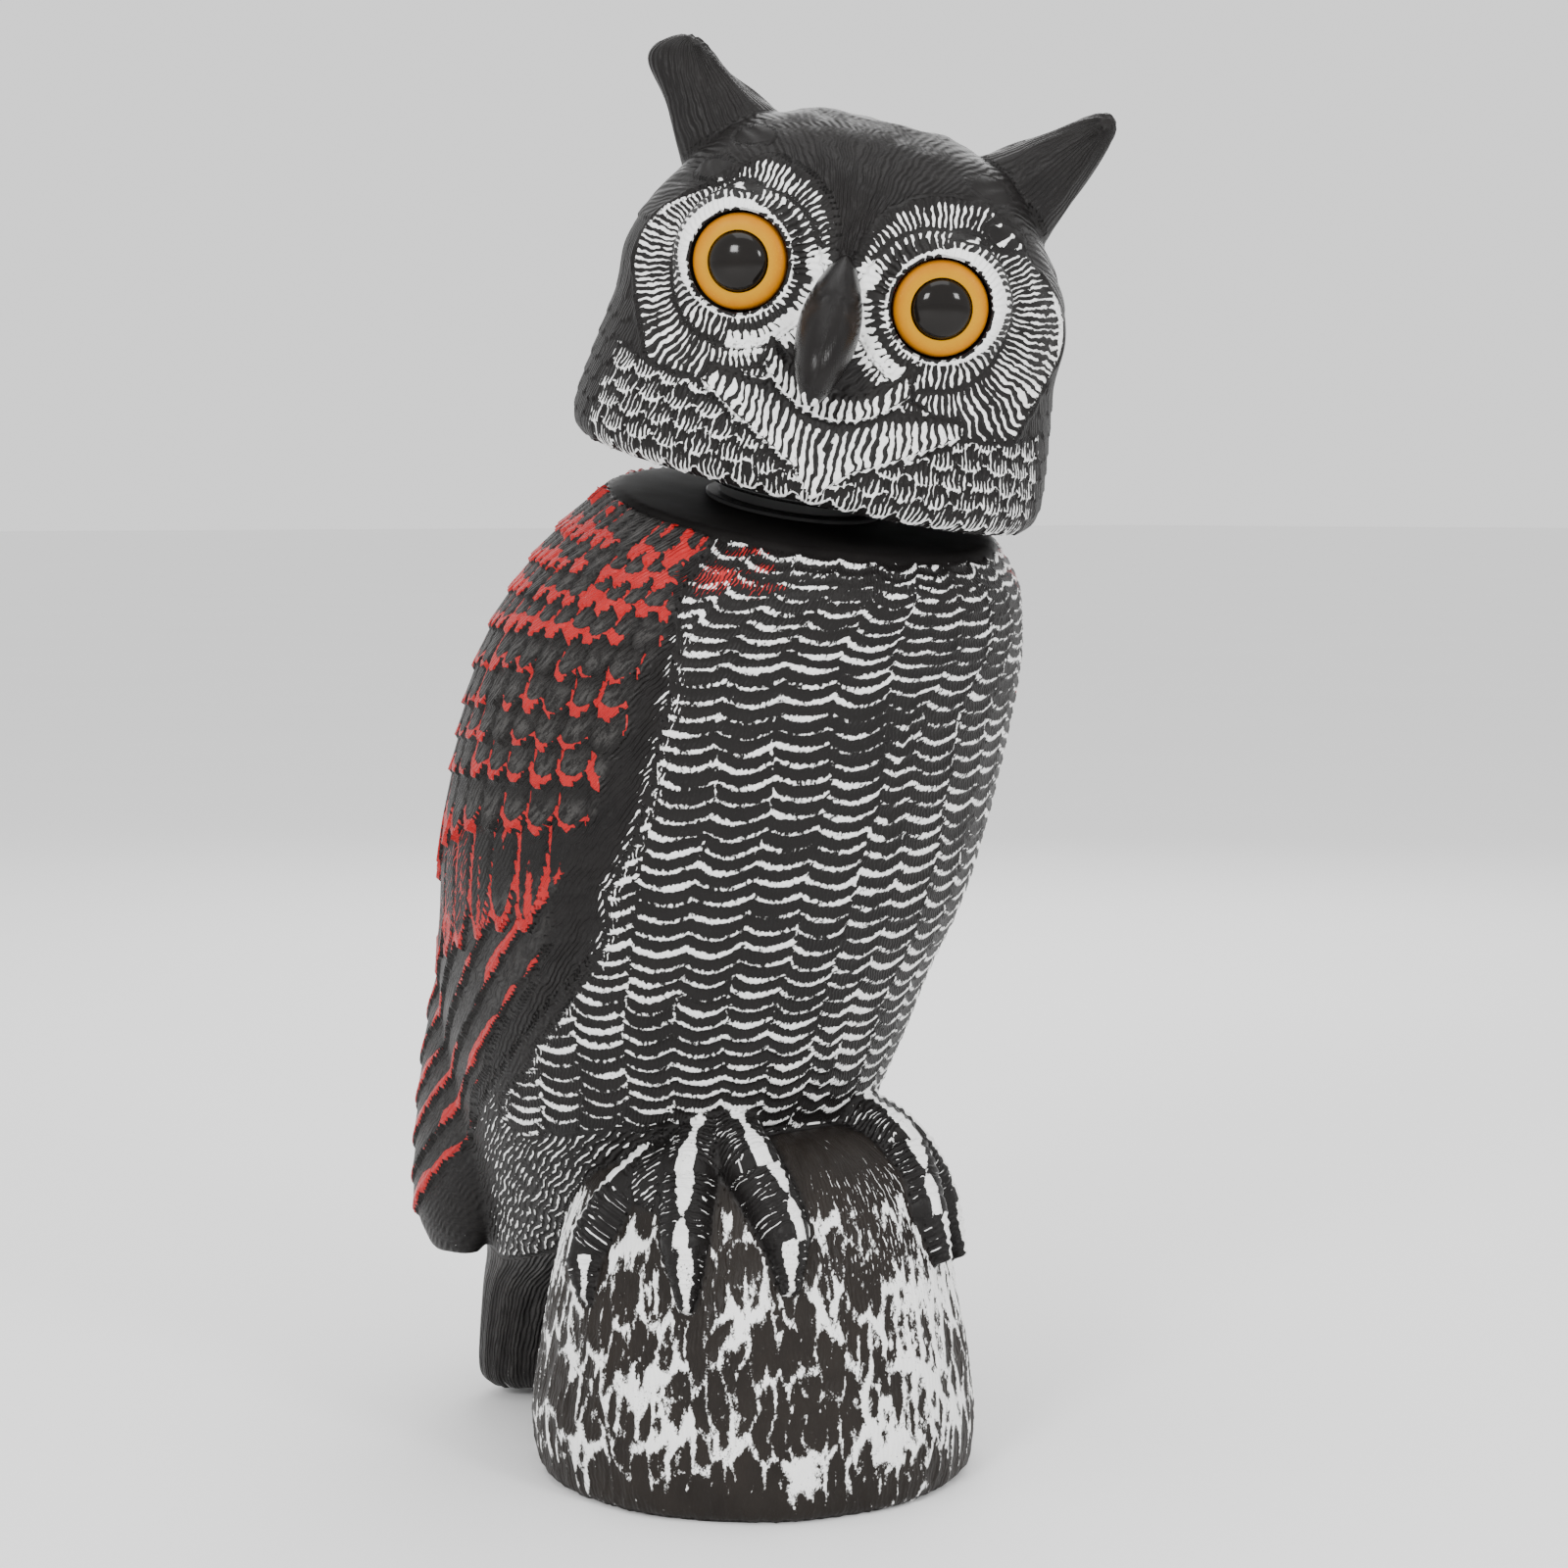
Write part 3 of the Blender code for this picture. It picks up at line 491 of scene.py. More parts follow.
# ---------------------------------------------------------------- body skin
# level of the body and the chest's half angle there
CHEST_EDGE = (
    (60, 95), (107, 87), (120, 76), (147, 59), (183, 53), (205, 51), (229, 51), (257, 59),
    (280, 64),
)
CHEST_BARS = ((95, 0), (150, 13.0), (250, 34.5), (290, 43.5))     # level, bars counted from the bottom
TORSO_RADIUS = 76.0
TAIL_RADIUS = 26.0
ROCK_REACH = 60.0
COLUMN_WIDTH = 15.0
COLUMN_BOW = 9.0
WING_ROWS = (163, 188, 201, 211, 220, 230, 240, 248.5, 256, 263, 270)
WING_TOP = 277.0
WING_PITCH = (10.5, 9.8, 9.5, 9.2, 8.8, 8.4, 7.8, 7.2, 7.0, 7.0, 7.0)
FEATHER_SCALLOP = 0.42
FINGERS_LOW = 138.0
PRIMARY_SLOPE = 0.8              # the primaries' edges keep height plus 0.8 of depth the same
PRIMARY_STRETCH = 1.28           # that sum's growth per millimetre straight across them
PRIMARY_EDGE = 145.0             # that sum at the wing's lower edge
PRIMARY_PITCH = 10.5
TOE_RING = 3.0
VEIN_CELL = (5.2, 19.0)          # across, up
FINE_VEIN_CELL = (3.1, 11.0)
NECK_FLAT = 0.0020
FLOOR_SNAP = 0.0007


def body_sources():
    """The torso, rock, tail web, wing tips and feet as closed shapes that overlap."""
    bm = bmesh.new()
    loft_into(bm, [leaning_ring(*row) for row in resample(BODY_SECTIONS, 4)])
    rock = []
    for radius, height in resample(ROCK_OUTLINE, 4):
        rock.append(oval(Vector((0, 0, height)), Vector((0, -radius, 0)), Vector((-radius, 0, 0))))
    loft_into(bm, rock)
    low, high = TAIL_WEB
    web = bmesh.ops.create_cube(bm, size=1.0)["verts"]
    size = Vector(high) - Vector(low)
    middle = (Vector(high) + Vector(low)) / 2.0
    bmesh.ops.transform(bm, matrix=Matrix.Translation(middle) @ Matrix.Diagonal((*size, 1.0)), verts=web)
    for sign in (-1.0, 1.0):
        wing_tip_into(bm, sign)
        foot_into(bm, sign)
    return bm


def wing_tip_into(bm, sign):
    rings = []
    for height, x, y, half_width, half_depth in resample(WING_TIP_SECTIONS, 3):
        centre = Vector((sign * x, y, height))
        rings.append(oval(centre, Vector((0, -half_depth, 0)), Vector((half_width, 0, 0)), 40))
    loft_into(bm, rings)


def foot_into(bm, sign):
    centre, half_sizes = FOOT_PAD
    pad = bmesh.ops.create_icosphere(bm, subdivisions=4, radius=1.0)["verts"]
    place = Matrix.Translation((-sign * centre[0], centre[1], centre[2]))
    turn = Matrix.Rotation(sign * FOOT_PAD_TURN, 4, "Z")
    bmesh.ops.transform(bm, matrix=place @ turn @ Matrix.Diagonal((*half_sizes, 1.0)), verts=pad)
    for points, radii in TOES:
        rows = resample([(-sign * x, y, z, r) for (x, y, z), r in zip(points, radii)], 5)
        path = [Vector(row[:3]) for row in rows]
        rings = []
        for i, (point, row) in enumerate(zip(path, rows)):
            along = (path[min(i + 1, len(path) - 1)] - path[max(i - 1, 0)]).normalized()
            across = along.cross(Vector((0.0, 0.0, 1.0))).normalized()
            radius = row[3] * TOE_SWELL
            rings.append(oval(point, across * radius, along.cross(across) * radius, 24))
        loft_into(bm, rings)


def body_levels(y, z):
    """The tilted level, section centre and half sizes at each point, in millimetres."""
    rows = np.array(resample(BODY_SECTIONS, 4))[::-1] * MM
    front_z, front_y, back_z, back_y, half_width = rows.T
    level = (front_z + back_z) / 2.0
    centre = (front_y + back_y) / 2.0
    slope = (back_z - front_z) / (back_y - front_y)
    depth = (back_y - front_y) / 2.0
    at = z.copy()
    for _ in range(6):
        at = z - np.interp(at, level, slope) * (y - np.interp(at, level, centre))
    return at, np.interp(at, level, centre), np.interp(at, level, half_width), np.interp(at, level, depth)


def toe_fields(p):
    """For the nearest toe: depth under its skin, the way along it, and the place across it."""
    best = np.full(len(p), 1e3)
    along_toe = np.zeros(len(p))
    across_toe = np.zeros(len(p))
    for sign in (-1.0, 1.0):
        for points, radii in TOES:
            path = np.array([(-sign * x, y, z) for x, y, z in points]) * MM
            start = 0.0
            for a, b, ra, rb in zip(path, path[1:], np.array(radii) * MM, np.array(radii[1:]) * MM):
                d = b - a
                length = np.linalg.norm(d)
                t = np.clip((p - a) @ d / length**2, 0.0, 1.0)
                away = p - a - t[:, None] * d
                distance = np.linalg.norm(away, axis=1) - (ra + (rb - ra) * t) * TOE_SWELL
                side = np.cross(d / length, np.array((0.0, 0.0, 1.0)))
                side /= np.linalg.norm(side)
                nearer = distance < best
                best = np.where(nearer, distance, best)
                along_toe = np.where(nearer, start + t * length, along_toe)
                across_toe = np.where(nearer, away @ side, across_toe)
                start += length
    return best, along_toe, across_toe


def survey_body(skin):
    """Works out places on the torso and how much of each zone a point belongs to."""
    x, y, z = skin.x, skin.y, skin.z
    skin.level, centre, half_width, half_depth = body_levels(y, z)
    angle = np.degrees(np.arctan2(-x / half_width, -(y - centre) / half_depth))
    skin.turn = np.abs(angle)
    skin.side = np.where(angle > 0.0, 1.0, 2.0)
    skin.u = np.radians(skin.turn) * TORSO_RADIUS
    rho = np.hypot(x / half_width, (y - centre) / half_depth)
    off_torso = (rho - 1.0) * np.minimum(half_width, half_depth)
    skin.toe_depth, skin.toe_along, skin.toe_across = toe_fields(skin.points * MM)
    skin.azimuth = np.arctan2(x, -y)
    radii, heights = columns_of(ROCK_OUTLINE)[:, ::-1] * MM
    off_rock = np.hypot(x, y) - np.interp(z, heights, radii)

    off_plate = (skin.points * MM - np.array(PIVOT) * MM) @ PLATE_NORMAL
    skin.plate = ramp(2.2, 1.0, np.abs(off_plate)) * (rho < 1.06)
    skin.toe = ramp(1.6, 0.4, skin.toe_depth)
    clear_of_torso = (off_torso > 0.5) | (z < 40.0) & (y < 60.0)
    skin.rock = ramp(3.0, 1.0, off_rock) * (z < 103.0) * (1.0 - skin.toe) * clear_of_torso
    skin.tail = ramp(74.0, 66.0, z) * (y > 40.0) * ramp(36.0, 32.0, np.abs(x))
    skin.tail *= (1.0 - skin.rock) * (1.0 - skin.toe)
    upper = (1.0 - skin.rock) * (1.0 - skin.toe) * (1.0 - skin.tail) * (1.0 - skin.plate)
    skin.upper = upper

    edge = np.interp(skin.level, *columns_of(CHEST_EDGE)) + waver(3.0, skin.level / 9.0, skin.side, seed=3.0)
    skin.chest_edge = edge
    chest_low = 102.0 - 4.0 * ramp(45.0, 75.0, skin.turn)
    chest_low += waver(4.0, skin.u / 5.0, skin.side, seed=4.0)
    skin.chest = upper * ramp(edge + 1.0, edge - 1.0, skin.turn)
    skin.chest *= ramp(chest_low - 1.0, chest_low + 1.0, z)
    band_width = np.interp(skin.level, (150.0, 200.0, 235.0, 250.0), (13.0, 10.0, 6.0, 2.0))
    wing_line = edge + band_width + waver(3.0, skin.level / 6.0, skin.side, seed=5.0)
    skin.primary = z + PRIMARY_SLOPE * y
    skin.wing = upper * ramp(wing_line - 1.0, wing_line + 1.5, skin.turn)
    skin.wing *= ramp(PRIMARY_EDGE - 1.0, PRIMARY_EDGE + 0.5, skin.primary)
    rest = upper * (1.0 - skin.chest) * (1.0 - skin.wing)
    skin.band = rest * (skin.primary > PRIMARY_EDGE)
    skin.flank = rest * (skin.primary <= PRIMARY_EDGE)


def paint_band(skin):
    """The dark, hairy band between chest and wing, and the hair everywhere not laid later."""
    lean = math.radians(33.0)
    skin.fields["stroke"] = (skin.u * math.cos(lean) + skin.z * math.sin(lean)) / 1.5
    skin.fields["run"] = (-skin.u * math.sin(lean) + skin.z * math.cos(lean)) / 5.0
    skin.rise -= 1.2 * skin.band * bump(skin.turn, skin.chest_edge + 5.0, 4.0)
    skin.lay((skin.band + skin.flank) > 0.5, hair=0.9)


def paint_chest(skin):
    """Bars that bow and step from column to column, with a comb of strokes at the chest's edge."""
    level, side, u = skin.level, skin.side, skin.u
    mirrored = np.where(side > 1.5, 1.0, -1.0)
    column_at = u * mirrored / COLUMN_WIDTH + 0.5 + waver(0.6, level / 22.0, side, seed=9.0)
    column = np.floor(column_at)
    in_column = frac(column_at) - 0.5
    bars = np.interp(level - COLUMN_BOW * in_column**2, *columns_of(CHEST_BARS))
    bars += 0.75 * hash01(column, seed=2.0) + waver(0.35, u / 9.0, level / 14.0, side)
    bar = np.floor(bars)
    in_bar = frac(bars) - 0.5
    pitch = np.where(level > 150.0, 4.7, 4.2)
    bar_white = 0.60 + waver(1.0, u / 8.0, bar * 3.1, side) - np.abs(in_bar) * pitch
    few = 2.0 * (hash01(column, bar, 6.0) < 0.8)
    tick_white = 0.3 - (0.5 - np.abs(in_column)) * COLUMN_WIDTH - few
    skin.lay(
        skin.chest > 0.5, white=np.maximum(bar_white, tick_white), stroke=u / 1.25, run=level / 3.0,
        cover=0.05 + 0.12 * ramp(252.0, 258.0, level), hair=0.35,
    )
    skin.rise += skin.chest * (0.55 * bump(in_bar, 0.06, 0.20) - 0.25 * bump(in_bar, -0.33, 0.10))
    comb = bump(skin.turn, skin.chest_edge, 3.0) * (level < 245.0) * skin.upper
    skin.raise_to("cover", (0.30 + 0.3 * noise(level / 5.0, side, seed=7.0)) * comb)


def paint_wings(skin):
    """Rows of rounded feathers over one row of long fingers, over slanting primaries."""
    level, side, u = skin.level, skin.side, skin.u
    pitches = np.array(WING_PITCH)
    heights = np.diff(np.array(WING_ROWS + (WING_TOP,)))

    def pitch_of_row(row):
        return pitches[np.clip(row, 0, len(pitches) - 1).astype(int)]

    drooped = level + 0.3 * skin.y * ramp(200.0, 165.0, level)
    rows_v = np.interp(drooped, (FINGERS_LOW,) + WING_ROWS, np.arange(-1.0, len(WING_ROWS)))
    rows_v += waver(0.16, u / 9.0, side, seed=13.0)
    across_u = u + waver(0.9, u / 8.0, level / 8.0, side, seed=11.0)
    col, row, across, above = scales(across_u, rows_v, pitch_of_row, FEATHER_SCALLOP)
    lift = above * heights[np.clip(row, 0, len(heights) - 1).astype(int)]
    sides_gap = (0.5 - np.abs(across)) * pitch_of_row(row)
    back_gap = (0.5 - across) * pitch_of_row(row)
    chance = hash01(col + 31.0 * side, row, 1.0)
    patchy = noise(u / 13.0, level / 11.0, side, seed=15.0)

    crescent = 1.2 + 3.2 * chance * (0.4 + patchy) + 1.3 * ramp(228.0, 255.0, level)
    crescent = crescent * (1.0 - 0.45 * (2.0 * across - 0.2) ** 2) - lift - 6.0 * (chance < 0.10)
    arm = np.minimum(0.5 + 1.4 * chance - back_gap, 4.0 + 6.0 * chance - lift) - 3.0 * (chance < 0.35)
    streak = noise(lift / 8.0, col * 3.7, side, seed=25.0)
    outline = np.maximum(2.6 + 2.2 * chance - lift, 2.6 * (streak - 0.25) + 0.6 - back_gap)
    outline = np.maximum(outline, 2.0 * (streak - 0.55) - np.abs(across) * 5.0)

    wing = skin.wing > 0.5
    fingers = row == 0.0
    primaries = row < 0.0
    middle = 1.0 - np.clip(2.0 * np.abs(across), 0.0, 1.0) ** 2
    feather_red = np.where(fingers, outline, np.maximum(crescent, arm))
    feather_rise = 1.6 * np.exp(-lift / 5.5) * (1.0 - 0.45 * (2.0 * across) ** 2)
    feather_rise -= 0.6 * bump(sides_gap, 0.0, 0.7)
    skin.lay(wing, hair=0.8)
    skin.lay(wing & ~primaries, red=feather_red, dry=middle * bump(lift, 5.0, 3.5))
    skin.lay(wing & fingers & (skin.turn > 96.0) & (skin.turn < 140.0), red_cover=0.32)
    primary_rise = paint_primaries(skin, wing & primaries)
    skin.rise += skin.wing * (0.4 + np.where(primaries, primary_rise, feather_rise))
    spill = ramp(250.0, 264.0, level) * bump(skin.turn, 52.0, 15.0) * skin.upper
    skin.raise_to("red_cover", 0.85 * spill * noise(u / 6.0, level / 3.0, side, seed=21.0))


def paint_primaries(skin, primaries):
    """Long slanting feathers with broken red edges; gives their relief."""
    fan = (skin.primary - PRIMARY_EDGE) / PRIMARY_PITCH + waver(0.14, skin.y / 14.0, skin.side, seed=17.0)
    feather = np.floor(fan)
    from_edge = frac(fan) * PRIMARY_PITCH / PRIMARY_STRETCH
    along = (skin.y - PRIMARY_SLOPE * skin.z) / PRIMARY_STRETCH
    broken = noise(along / 9.0, feather * 5.3, skin.side, seed=19.0)
    edge_red = 1.0 + 4.6 * (broken - 0.38) - from_edge + 1.2 * (feather < 0.5)
    skin.lay(primaries, red=edge_red, dry=0.35 * bump(from_edge, 4.0, 2.5))
    skin.lay(primaries | (skin.flank > 0.5), stroke=skin.primary / PRIMARY_STRETCH / 1.6, run=along / 6.0)
    return 1.5 * np.exp(-from_edge / 3.2) - 0.4 * bump(from_edge, 0.0, 0.5)


def paint_flanks(skin):
    """Fine hairs below the wings, with white on the legs and a red edge to each wing tip."""
    flank = skin.flank > 0.5
    legs = ramp(118.0, 100.0, skin.z) * ramp(112.0, 92.0, skin.turn)
    skin.lay(flank, cover=0.06 + 0.28 * legs)
    skin.lay(flank & (skin.turn > 118.0) & ((skin.primary < 122.0) | (skin.z < 100.0)), cover=0.06)
    tip_edge = bump(skin.turn, 132.0, 9.0) * ramp(130.0, 100.0, skin.z) * skin.flank
    skin.raise_to("red", np.where(tip_edge > 0.75, 1.0, NO_PAINT))


def paint_tail(skin):
    around = np.radians(skin.turn) * TAIL_RADIUS
    skin.lay(
        skin.tail > 0.5, stroke=around / 1.4, run=skin.z / 9.0, hair=1.0,
        cover=0.02 + 0.16 * ramp(26.0, 8.0, skin.z),
        dry=0.8 * noise(around / 3.0, skin.z / 16.0, seed=33.0),
    )
    skin.rise += skin.tail * 0.5 * (np.abs(frac(around / 6.8) - 0.5) * 2.0 - 0.5)


def paint_toes(skin):
    """White backs with rings across them."""
    off_crest = np.abs(skin.toe_across)
    crest = 1.7 + waver(2.8, skin.toe_along / 4.0, skin.toe_across / 9.0, seed=22.0)
    skin.lay(
        skin.toe > 0.5, white=np.where(skin.toe_depth < 1.2, crest - off_crest, NO_PAINT),
        cover=0.14 + 0.16 * bump(off_crest, 6.0, 2.5), stroke=skin.toe_along / 1.5,
        run=skin.toe_across / 4.0, hair=0.7,
    )
    skin.rise += skin.toe * 0.35 * np.sin(skin.toe_along * 2.0 * math.pi / TOE_RING)


def paint_rock(skin):
    """Raised white veins round tall sunken cells, on broad lumps."""
    z = skin.z
    around = skin.azimuth * ROCK_REACH
    sway = waver(0.8, around / 7.0, z / 8.0, seed=27.0)
    veins = []
    for (width, height), seed in ((VEIN_CELL, 71.0), (FINE_VEIN_CELL, 73.0)):
        veins.append(cell_borders(around / width + sway, z / height, seed) * width)
    vein, fine_vein = veins
    front_left = bump(skin.azimuth, 0.35, 0.8)
    amount = waver(0.9, around / 9.0, z / 12.0, seed=31.0)
    amount += 0.15 * front_left - 0.5 * ramp(12.0, 3.0, z)
    vein_white = np.maximum(0.34 + amount - vein, 0.9 * amount - 0.12 - fine_vein)
    skin.lay(
        skin.rock > 0.5, white=vein_white - 3.0 * ramp(80.0, 92.0, z), stroke=around / 1.5,
        run=z / 4.0, hair=0.25,
        cover=0.10 + 0.22 * front_left * ramp(45.0, 75.0, z) * ramp(96.0, 88.0, z),
    )
    ridge = np.maximum(np.exp(-vein / 1.3), 0.7 * np.exp(-fine_vein / 0.9))
    skin.rise += skin.rock * (1.1 * ridge + waver(1.2, around / 14.0, z / 18.0, seed=37.0))


def finish_plate(skin):
    """Keeps the neck plate plain and nearly smooth."""
    skin.rise *= 1.0 - 0.8 * skin.plate
    plain = skin.plate > 0.5
    skin.lay(plain, white=NO_PAINT, red=NO_PAINT, cover=0.0, red_cover=0.0, hair=0.0)
    skin.fields["rock"] = skin.rock
    skin.fields["polish"] = -skin.plate


def flatten_seats(skin):
    """Sets the plate's middle and the underside on their exact planes."""
    offset = skin.points - np.array(PIVOT)
    off_plane = offset @ PLATE_NORMAL
    flat = (np.abs(off_plane) < NECK_FLAT) & (np.linalg.norm(offset, axis=1) < PLATE_SNAP_RADIUS)
    skin.points[flat] -= off_plane[flat, None] * PLATE_NORMAL
    heights = skin.points[:, 2]
    skin.points[:, 2] = np.where(heights < FLOOR_SNAP, 0.0, heights)


def make_body(material):
    skin = Skin("body_skin", body_sources(), BODY_VOXEL, 5)
    survey_body(skin)
    for paint in (paint_band, paint_chest, paint_wings, paint_flanks, paint_tail, paint_toes, paint_rock):
        paint(skin)
    skin.calm_seams("cover", "red_cover", "hair")
    finish_plate(skin)
    skin.rise *= ramp(0.3, 2.0, skin.z)
    skin.emboss()
    flatten_seats(skin)
    skin.store()
    fill = Matrix.Translation(FILL_CENTRE)
    cut(skin.piece, PLUG_FLANGE_RADIUS + GAP, -CUT_CLEAR, PLUG_SEAT_DEPTH, fill)
    cut(skin.piece, FILL_HOLE_RADIUS, -CUT_CLEAR, FILL_HOLE_DEPTH, fill)
    cut(skin.piece, BUSH_FLANGE_RADIUS + GAP, -BUSH_SEAT_DEPTH, CUT_CLEAR, plate_frame())
    cut(skin.piece, BUSH_RADIUS + GAP, -BUSH_HOLE_DEPTH, CUT_CLEAR, plate_frame())
    shade(skin.piece, 60.0)
    hand_over(skin.piece, material, "body", "body_shell")


# ---------------------------------------------------------------- head skin
# height, half angle of the facial discs there
DISC_BORDER = (
    (20, 50), (26, 50), (30, 53), (36, 59), (43, 65), (49, 69), (58, 70), (65, 66), (70, 60),
    (76, 54), (80, 49), (86, 40), (92, 25),
)
DISC_LOW = ((20.0, 32.0), (34.0, 24.0), (50.0, 25.0), (70.0, 30.0))    # half angle, lowest height
# way round an eye from the beak, reach of its strokes there
BROW_LIMIT = ((0, 23), (22, 24.5), (60, 28), (90, 30), (130, 42), (180, 60), (360, 60))
FACE_MIDDLE = 1.0                # millimetres to the left where the two discs meet
FACE_TURN = 5.0                  # degrees from the head's front to the middle of the beard
LIP_HEIGHT = 7.5
BEARD_HEIGHT = 13.0
SKIRT_COLUMNS = 44
SKIRT_PITCH = 8.8
SKIRT_ROWS = (-5.0, 0.8, 5.8, 10.8, 15.8, 21.0, 27.0, 33.0, 39.0)
SKIRT_SCALLOP = 0.40
SCALE_HEIGHT = 5.1
RIM_NOTCH = 1.3


def ear_sections(sign):
    """The owl's right ear ends lower and rounder than its slender left one."""
    path = np.array(EAR_PATH)
    if sign > 0.0:
        return np.hstack((path, LEFT_EAR_SIZES))
    part = (path[:, 2] - path[0, 2]) / (path[-1, 2] - path[0, 2])
    return np.hstack((path + part[:, None] * np.array(RIGHT_EAR_SHIFT), RIGHT_EAR_SIZES))


def head_sources():
    """The skull, ears, eye bosses and beak as closed shapes that overlap."""
    bm = bmesh.new()
    rings = []
    for z, front, back, width in resample(HEAD_SECTIONS, 4):
        rings.append(leaning_ring(z, front, z, back, width, RING_SIDES, FACE_FLATNESS))
    loft_into(bm, rings)
    for sign in (-1.0, 1.0):
        rings = []
        for x, y, z, half_width, half_depth in resample(ear_sections(sign), 4):
            across = Vector((EAR_LEAN[0], 0.0, EAR_LEAN[1] * sign)) * half_width
            rings.append(oval(Vector((sign * x, y, z)), Vector((0, -half_depth, 0)), across, 32))
        loft_into(bm, rings)
        eye = eye_frame(sign)
        rings = []
        for radius, height in EYE_BOSS:
            ring = oval(Vector((0, 0, height)), Vector((radius, 0, 0)), Vector((0, radius, 0)), 64)
            rings.append([eye @ point for point in ring])
        loft_into(bm, rings)
    rings = []
    for z, ridge, root, width in resample(BEAK_SECTIONS, 5):
        rings.append(leaning_ring(z, ridge, z, root, width, 40))
    loft_into(bm, rings)
    return bm


def survey_head(skin):
    """Works out places on the face and which part of the head each point belongs to."""
    x, y, z = skin.x, skin.y, skin.z
    azimuth = np.degrees(np.arctan2(x, -y)) - FACE_TURN
    turn = np.abs(azimuth)
    skin.turn = turn
    skin.u = np.radians(azimuth) * SKIRT_COLUMNS * SKIRT_PITCH / (2.0 * math.pi)
    skin.side = np.where(x > FACE_MIDDLE, 1.0, -1.0)
    eye_x = x - skin.side * EYE_SPACING * MM
    eye_y = y - EYE_DEPTH * MM
    eye_z = z - EYE_HEIGHT * MM
    skin.degrees = np.degrees(np.arctan2(eye_z, -skin.side * eye_x)) % 360.0      # 0 is towards the beak
    skin.eye_r = np.hypot(np.hypot(eye_x, eye_z), np.clip(eye_y, 0.0, None) * 0.9)
    skin.boss = skin.eye_r < 13.6

    beak_z, _, _, beak_width = columns_of(BEAK_SECTIONS)[:, ::-1] * MM
    head_z, head_front, _, _ = columns_of(HEAD_SECTIONS) * MM
    skin.beak = (y < np.interp(z, head_z, head_front) - 1.2) & (z > 24.0) & (z < 66.0)
    skin.beak &= np.abs(x) < np.interp(z, beak_z, beak_width) + 2.5

    beard_low = 5.4 + 0.56 * turn - 3.0 * bump(turn, 0.0, 4.0)
    beard_mid = 21.8 + 0.028 * turn**2
    beard_end = np.minimum(beard_mid, 26.0 + 0.1 * turn)
    lip_top = 29.5 + 0.028 * turn**2
    beard = (turn < 33.0) & (z > beard_low) & (z < beard_end)
    lip = (turn < 19.0) & (z >= beard_mid) & (z < lip_top)
    skin.tiers = ((lip, beard_mid, lip_top, LIP_HEIGHT), (beard, beard_low, beard_end, BEARD_HEIGHT))

    skin.front = (y < 10.0) & (z < 90.0)
    skin.border = np.interp(z, *columns_of(DISC_BORDER))
    skin.brow_limit = np.interp(skin.degrees, *columns_of(BROW_LIMIT))
    disc_low = np.where(turn < 20.0, lip_top, np.interp(turn, *columns_of(DISC_LOW)))
    other = ~(beard | lip | skin.beak)
    skin.disc = skin.front & (turn < skin.border) & (z > disc_low) & other
    skin.disc &= skin.eye_r < skin.brow_limit + 2.0
    skin.skirt = (z > -1.0) & (z <= np.maximum(disc_low, 0.0)) & (y < 40.0) & (turn < 67.0) & other
    skin.nape_fade = ramp(60.0, 50.0, z)
    bare = other & ~skin.disc & ~skin.skirt
    skin.nape = bare & (skin.nape_fade > 0.0)
    skin.crown = bare & ~skin.nape


def paint_brow(skin):
    """Hair that flows back and out from the top of the beak, wherever nothing is laid later."""
    up = (skin.z - 58.0) + 0.8 * (skin.y + 52.0)
    skin.fields["stroke"] = np.arctan2(skin.x, up + 14.0) * 45.0 / 1.25
    skin.fields["run"] = np.hypot(skin.x, up) / 7.0
    skin.fields["hair"] += 0.8


def paint_disc(skin):
    """Strokes that run out from each eye, inside a raised border."""
    degrees, eye_r, z = skin.degrees, skin.eye_r, skin.z
    beak_side = (degrees > 272.0) | (degrees < 22.0)
    crescent = 1.1 + 3.4 * bump(degrees, 150.0, 62.0) - (eye_r - 13.4)
    stripe = np.where(beak_side, 1.1 - np.abs(eye_r - 20.8), NO_PAINT)
    off_border = skin.turn - skin.border
    border_line = 2.2 * noise(z / 6.0, skin.side, seed=53.0) - 0.8 - 0.95 * np.abs(off_border + 1.0)
    border_line -= 2.0 * ramp(66.0, 76.0, z)
    cover = np.where(beak_side & (eye_r > 16.0) & (eye_r < 18.8), 0.08, 0.46)
    cover = np.where(beak_side & (np.abs(eye_r - 20.8) < 3.0), 0.72, cover)
    cover = np.where((degrees > 22.0) & (degrees < 75.0) & (eye_r < 19.0), 0.26, cover)
    cover *= 1.0 - 0.45 * bump(eye_r, 22.3, 0.9) * bump(degrees, 185.0, 50.0)
    cover *= ramp(skin.brow_limit + 1.5, skin.brow_limit - 1.5, eye_r)
    cover = np.where((degrees > 290.0) & (eye_r > 25.5) & (z > 30.0), 0.05, cover)
    cover *= 0.80 + 0.40 * noise(degrees / 14.0, eye_r / 6.0, skin.side, seed=51.0)
    skin.lay(
        skin.disc, white=np.maximum(np.maximum(crescent, stripe), border_line), cover=cover,
        stroke=degrees / 360.0 * np.where(eye_r < 21.5, 60.0, 92.0), run=eye_r / 5.5,
    )
    skin.rise -= skin.disc * bump(eye_r, 24.0, 5.0)
    rim = ramp(22.0, 27.0, z) * ramp(74.0, 62.0, z) * skin.front
    skin.rise += 1.1 * bump(off_border, 0.0, 2.2) * rim


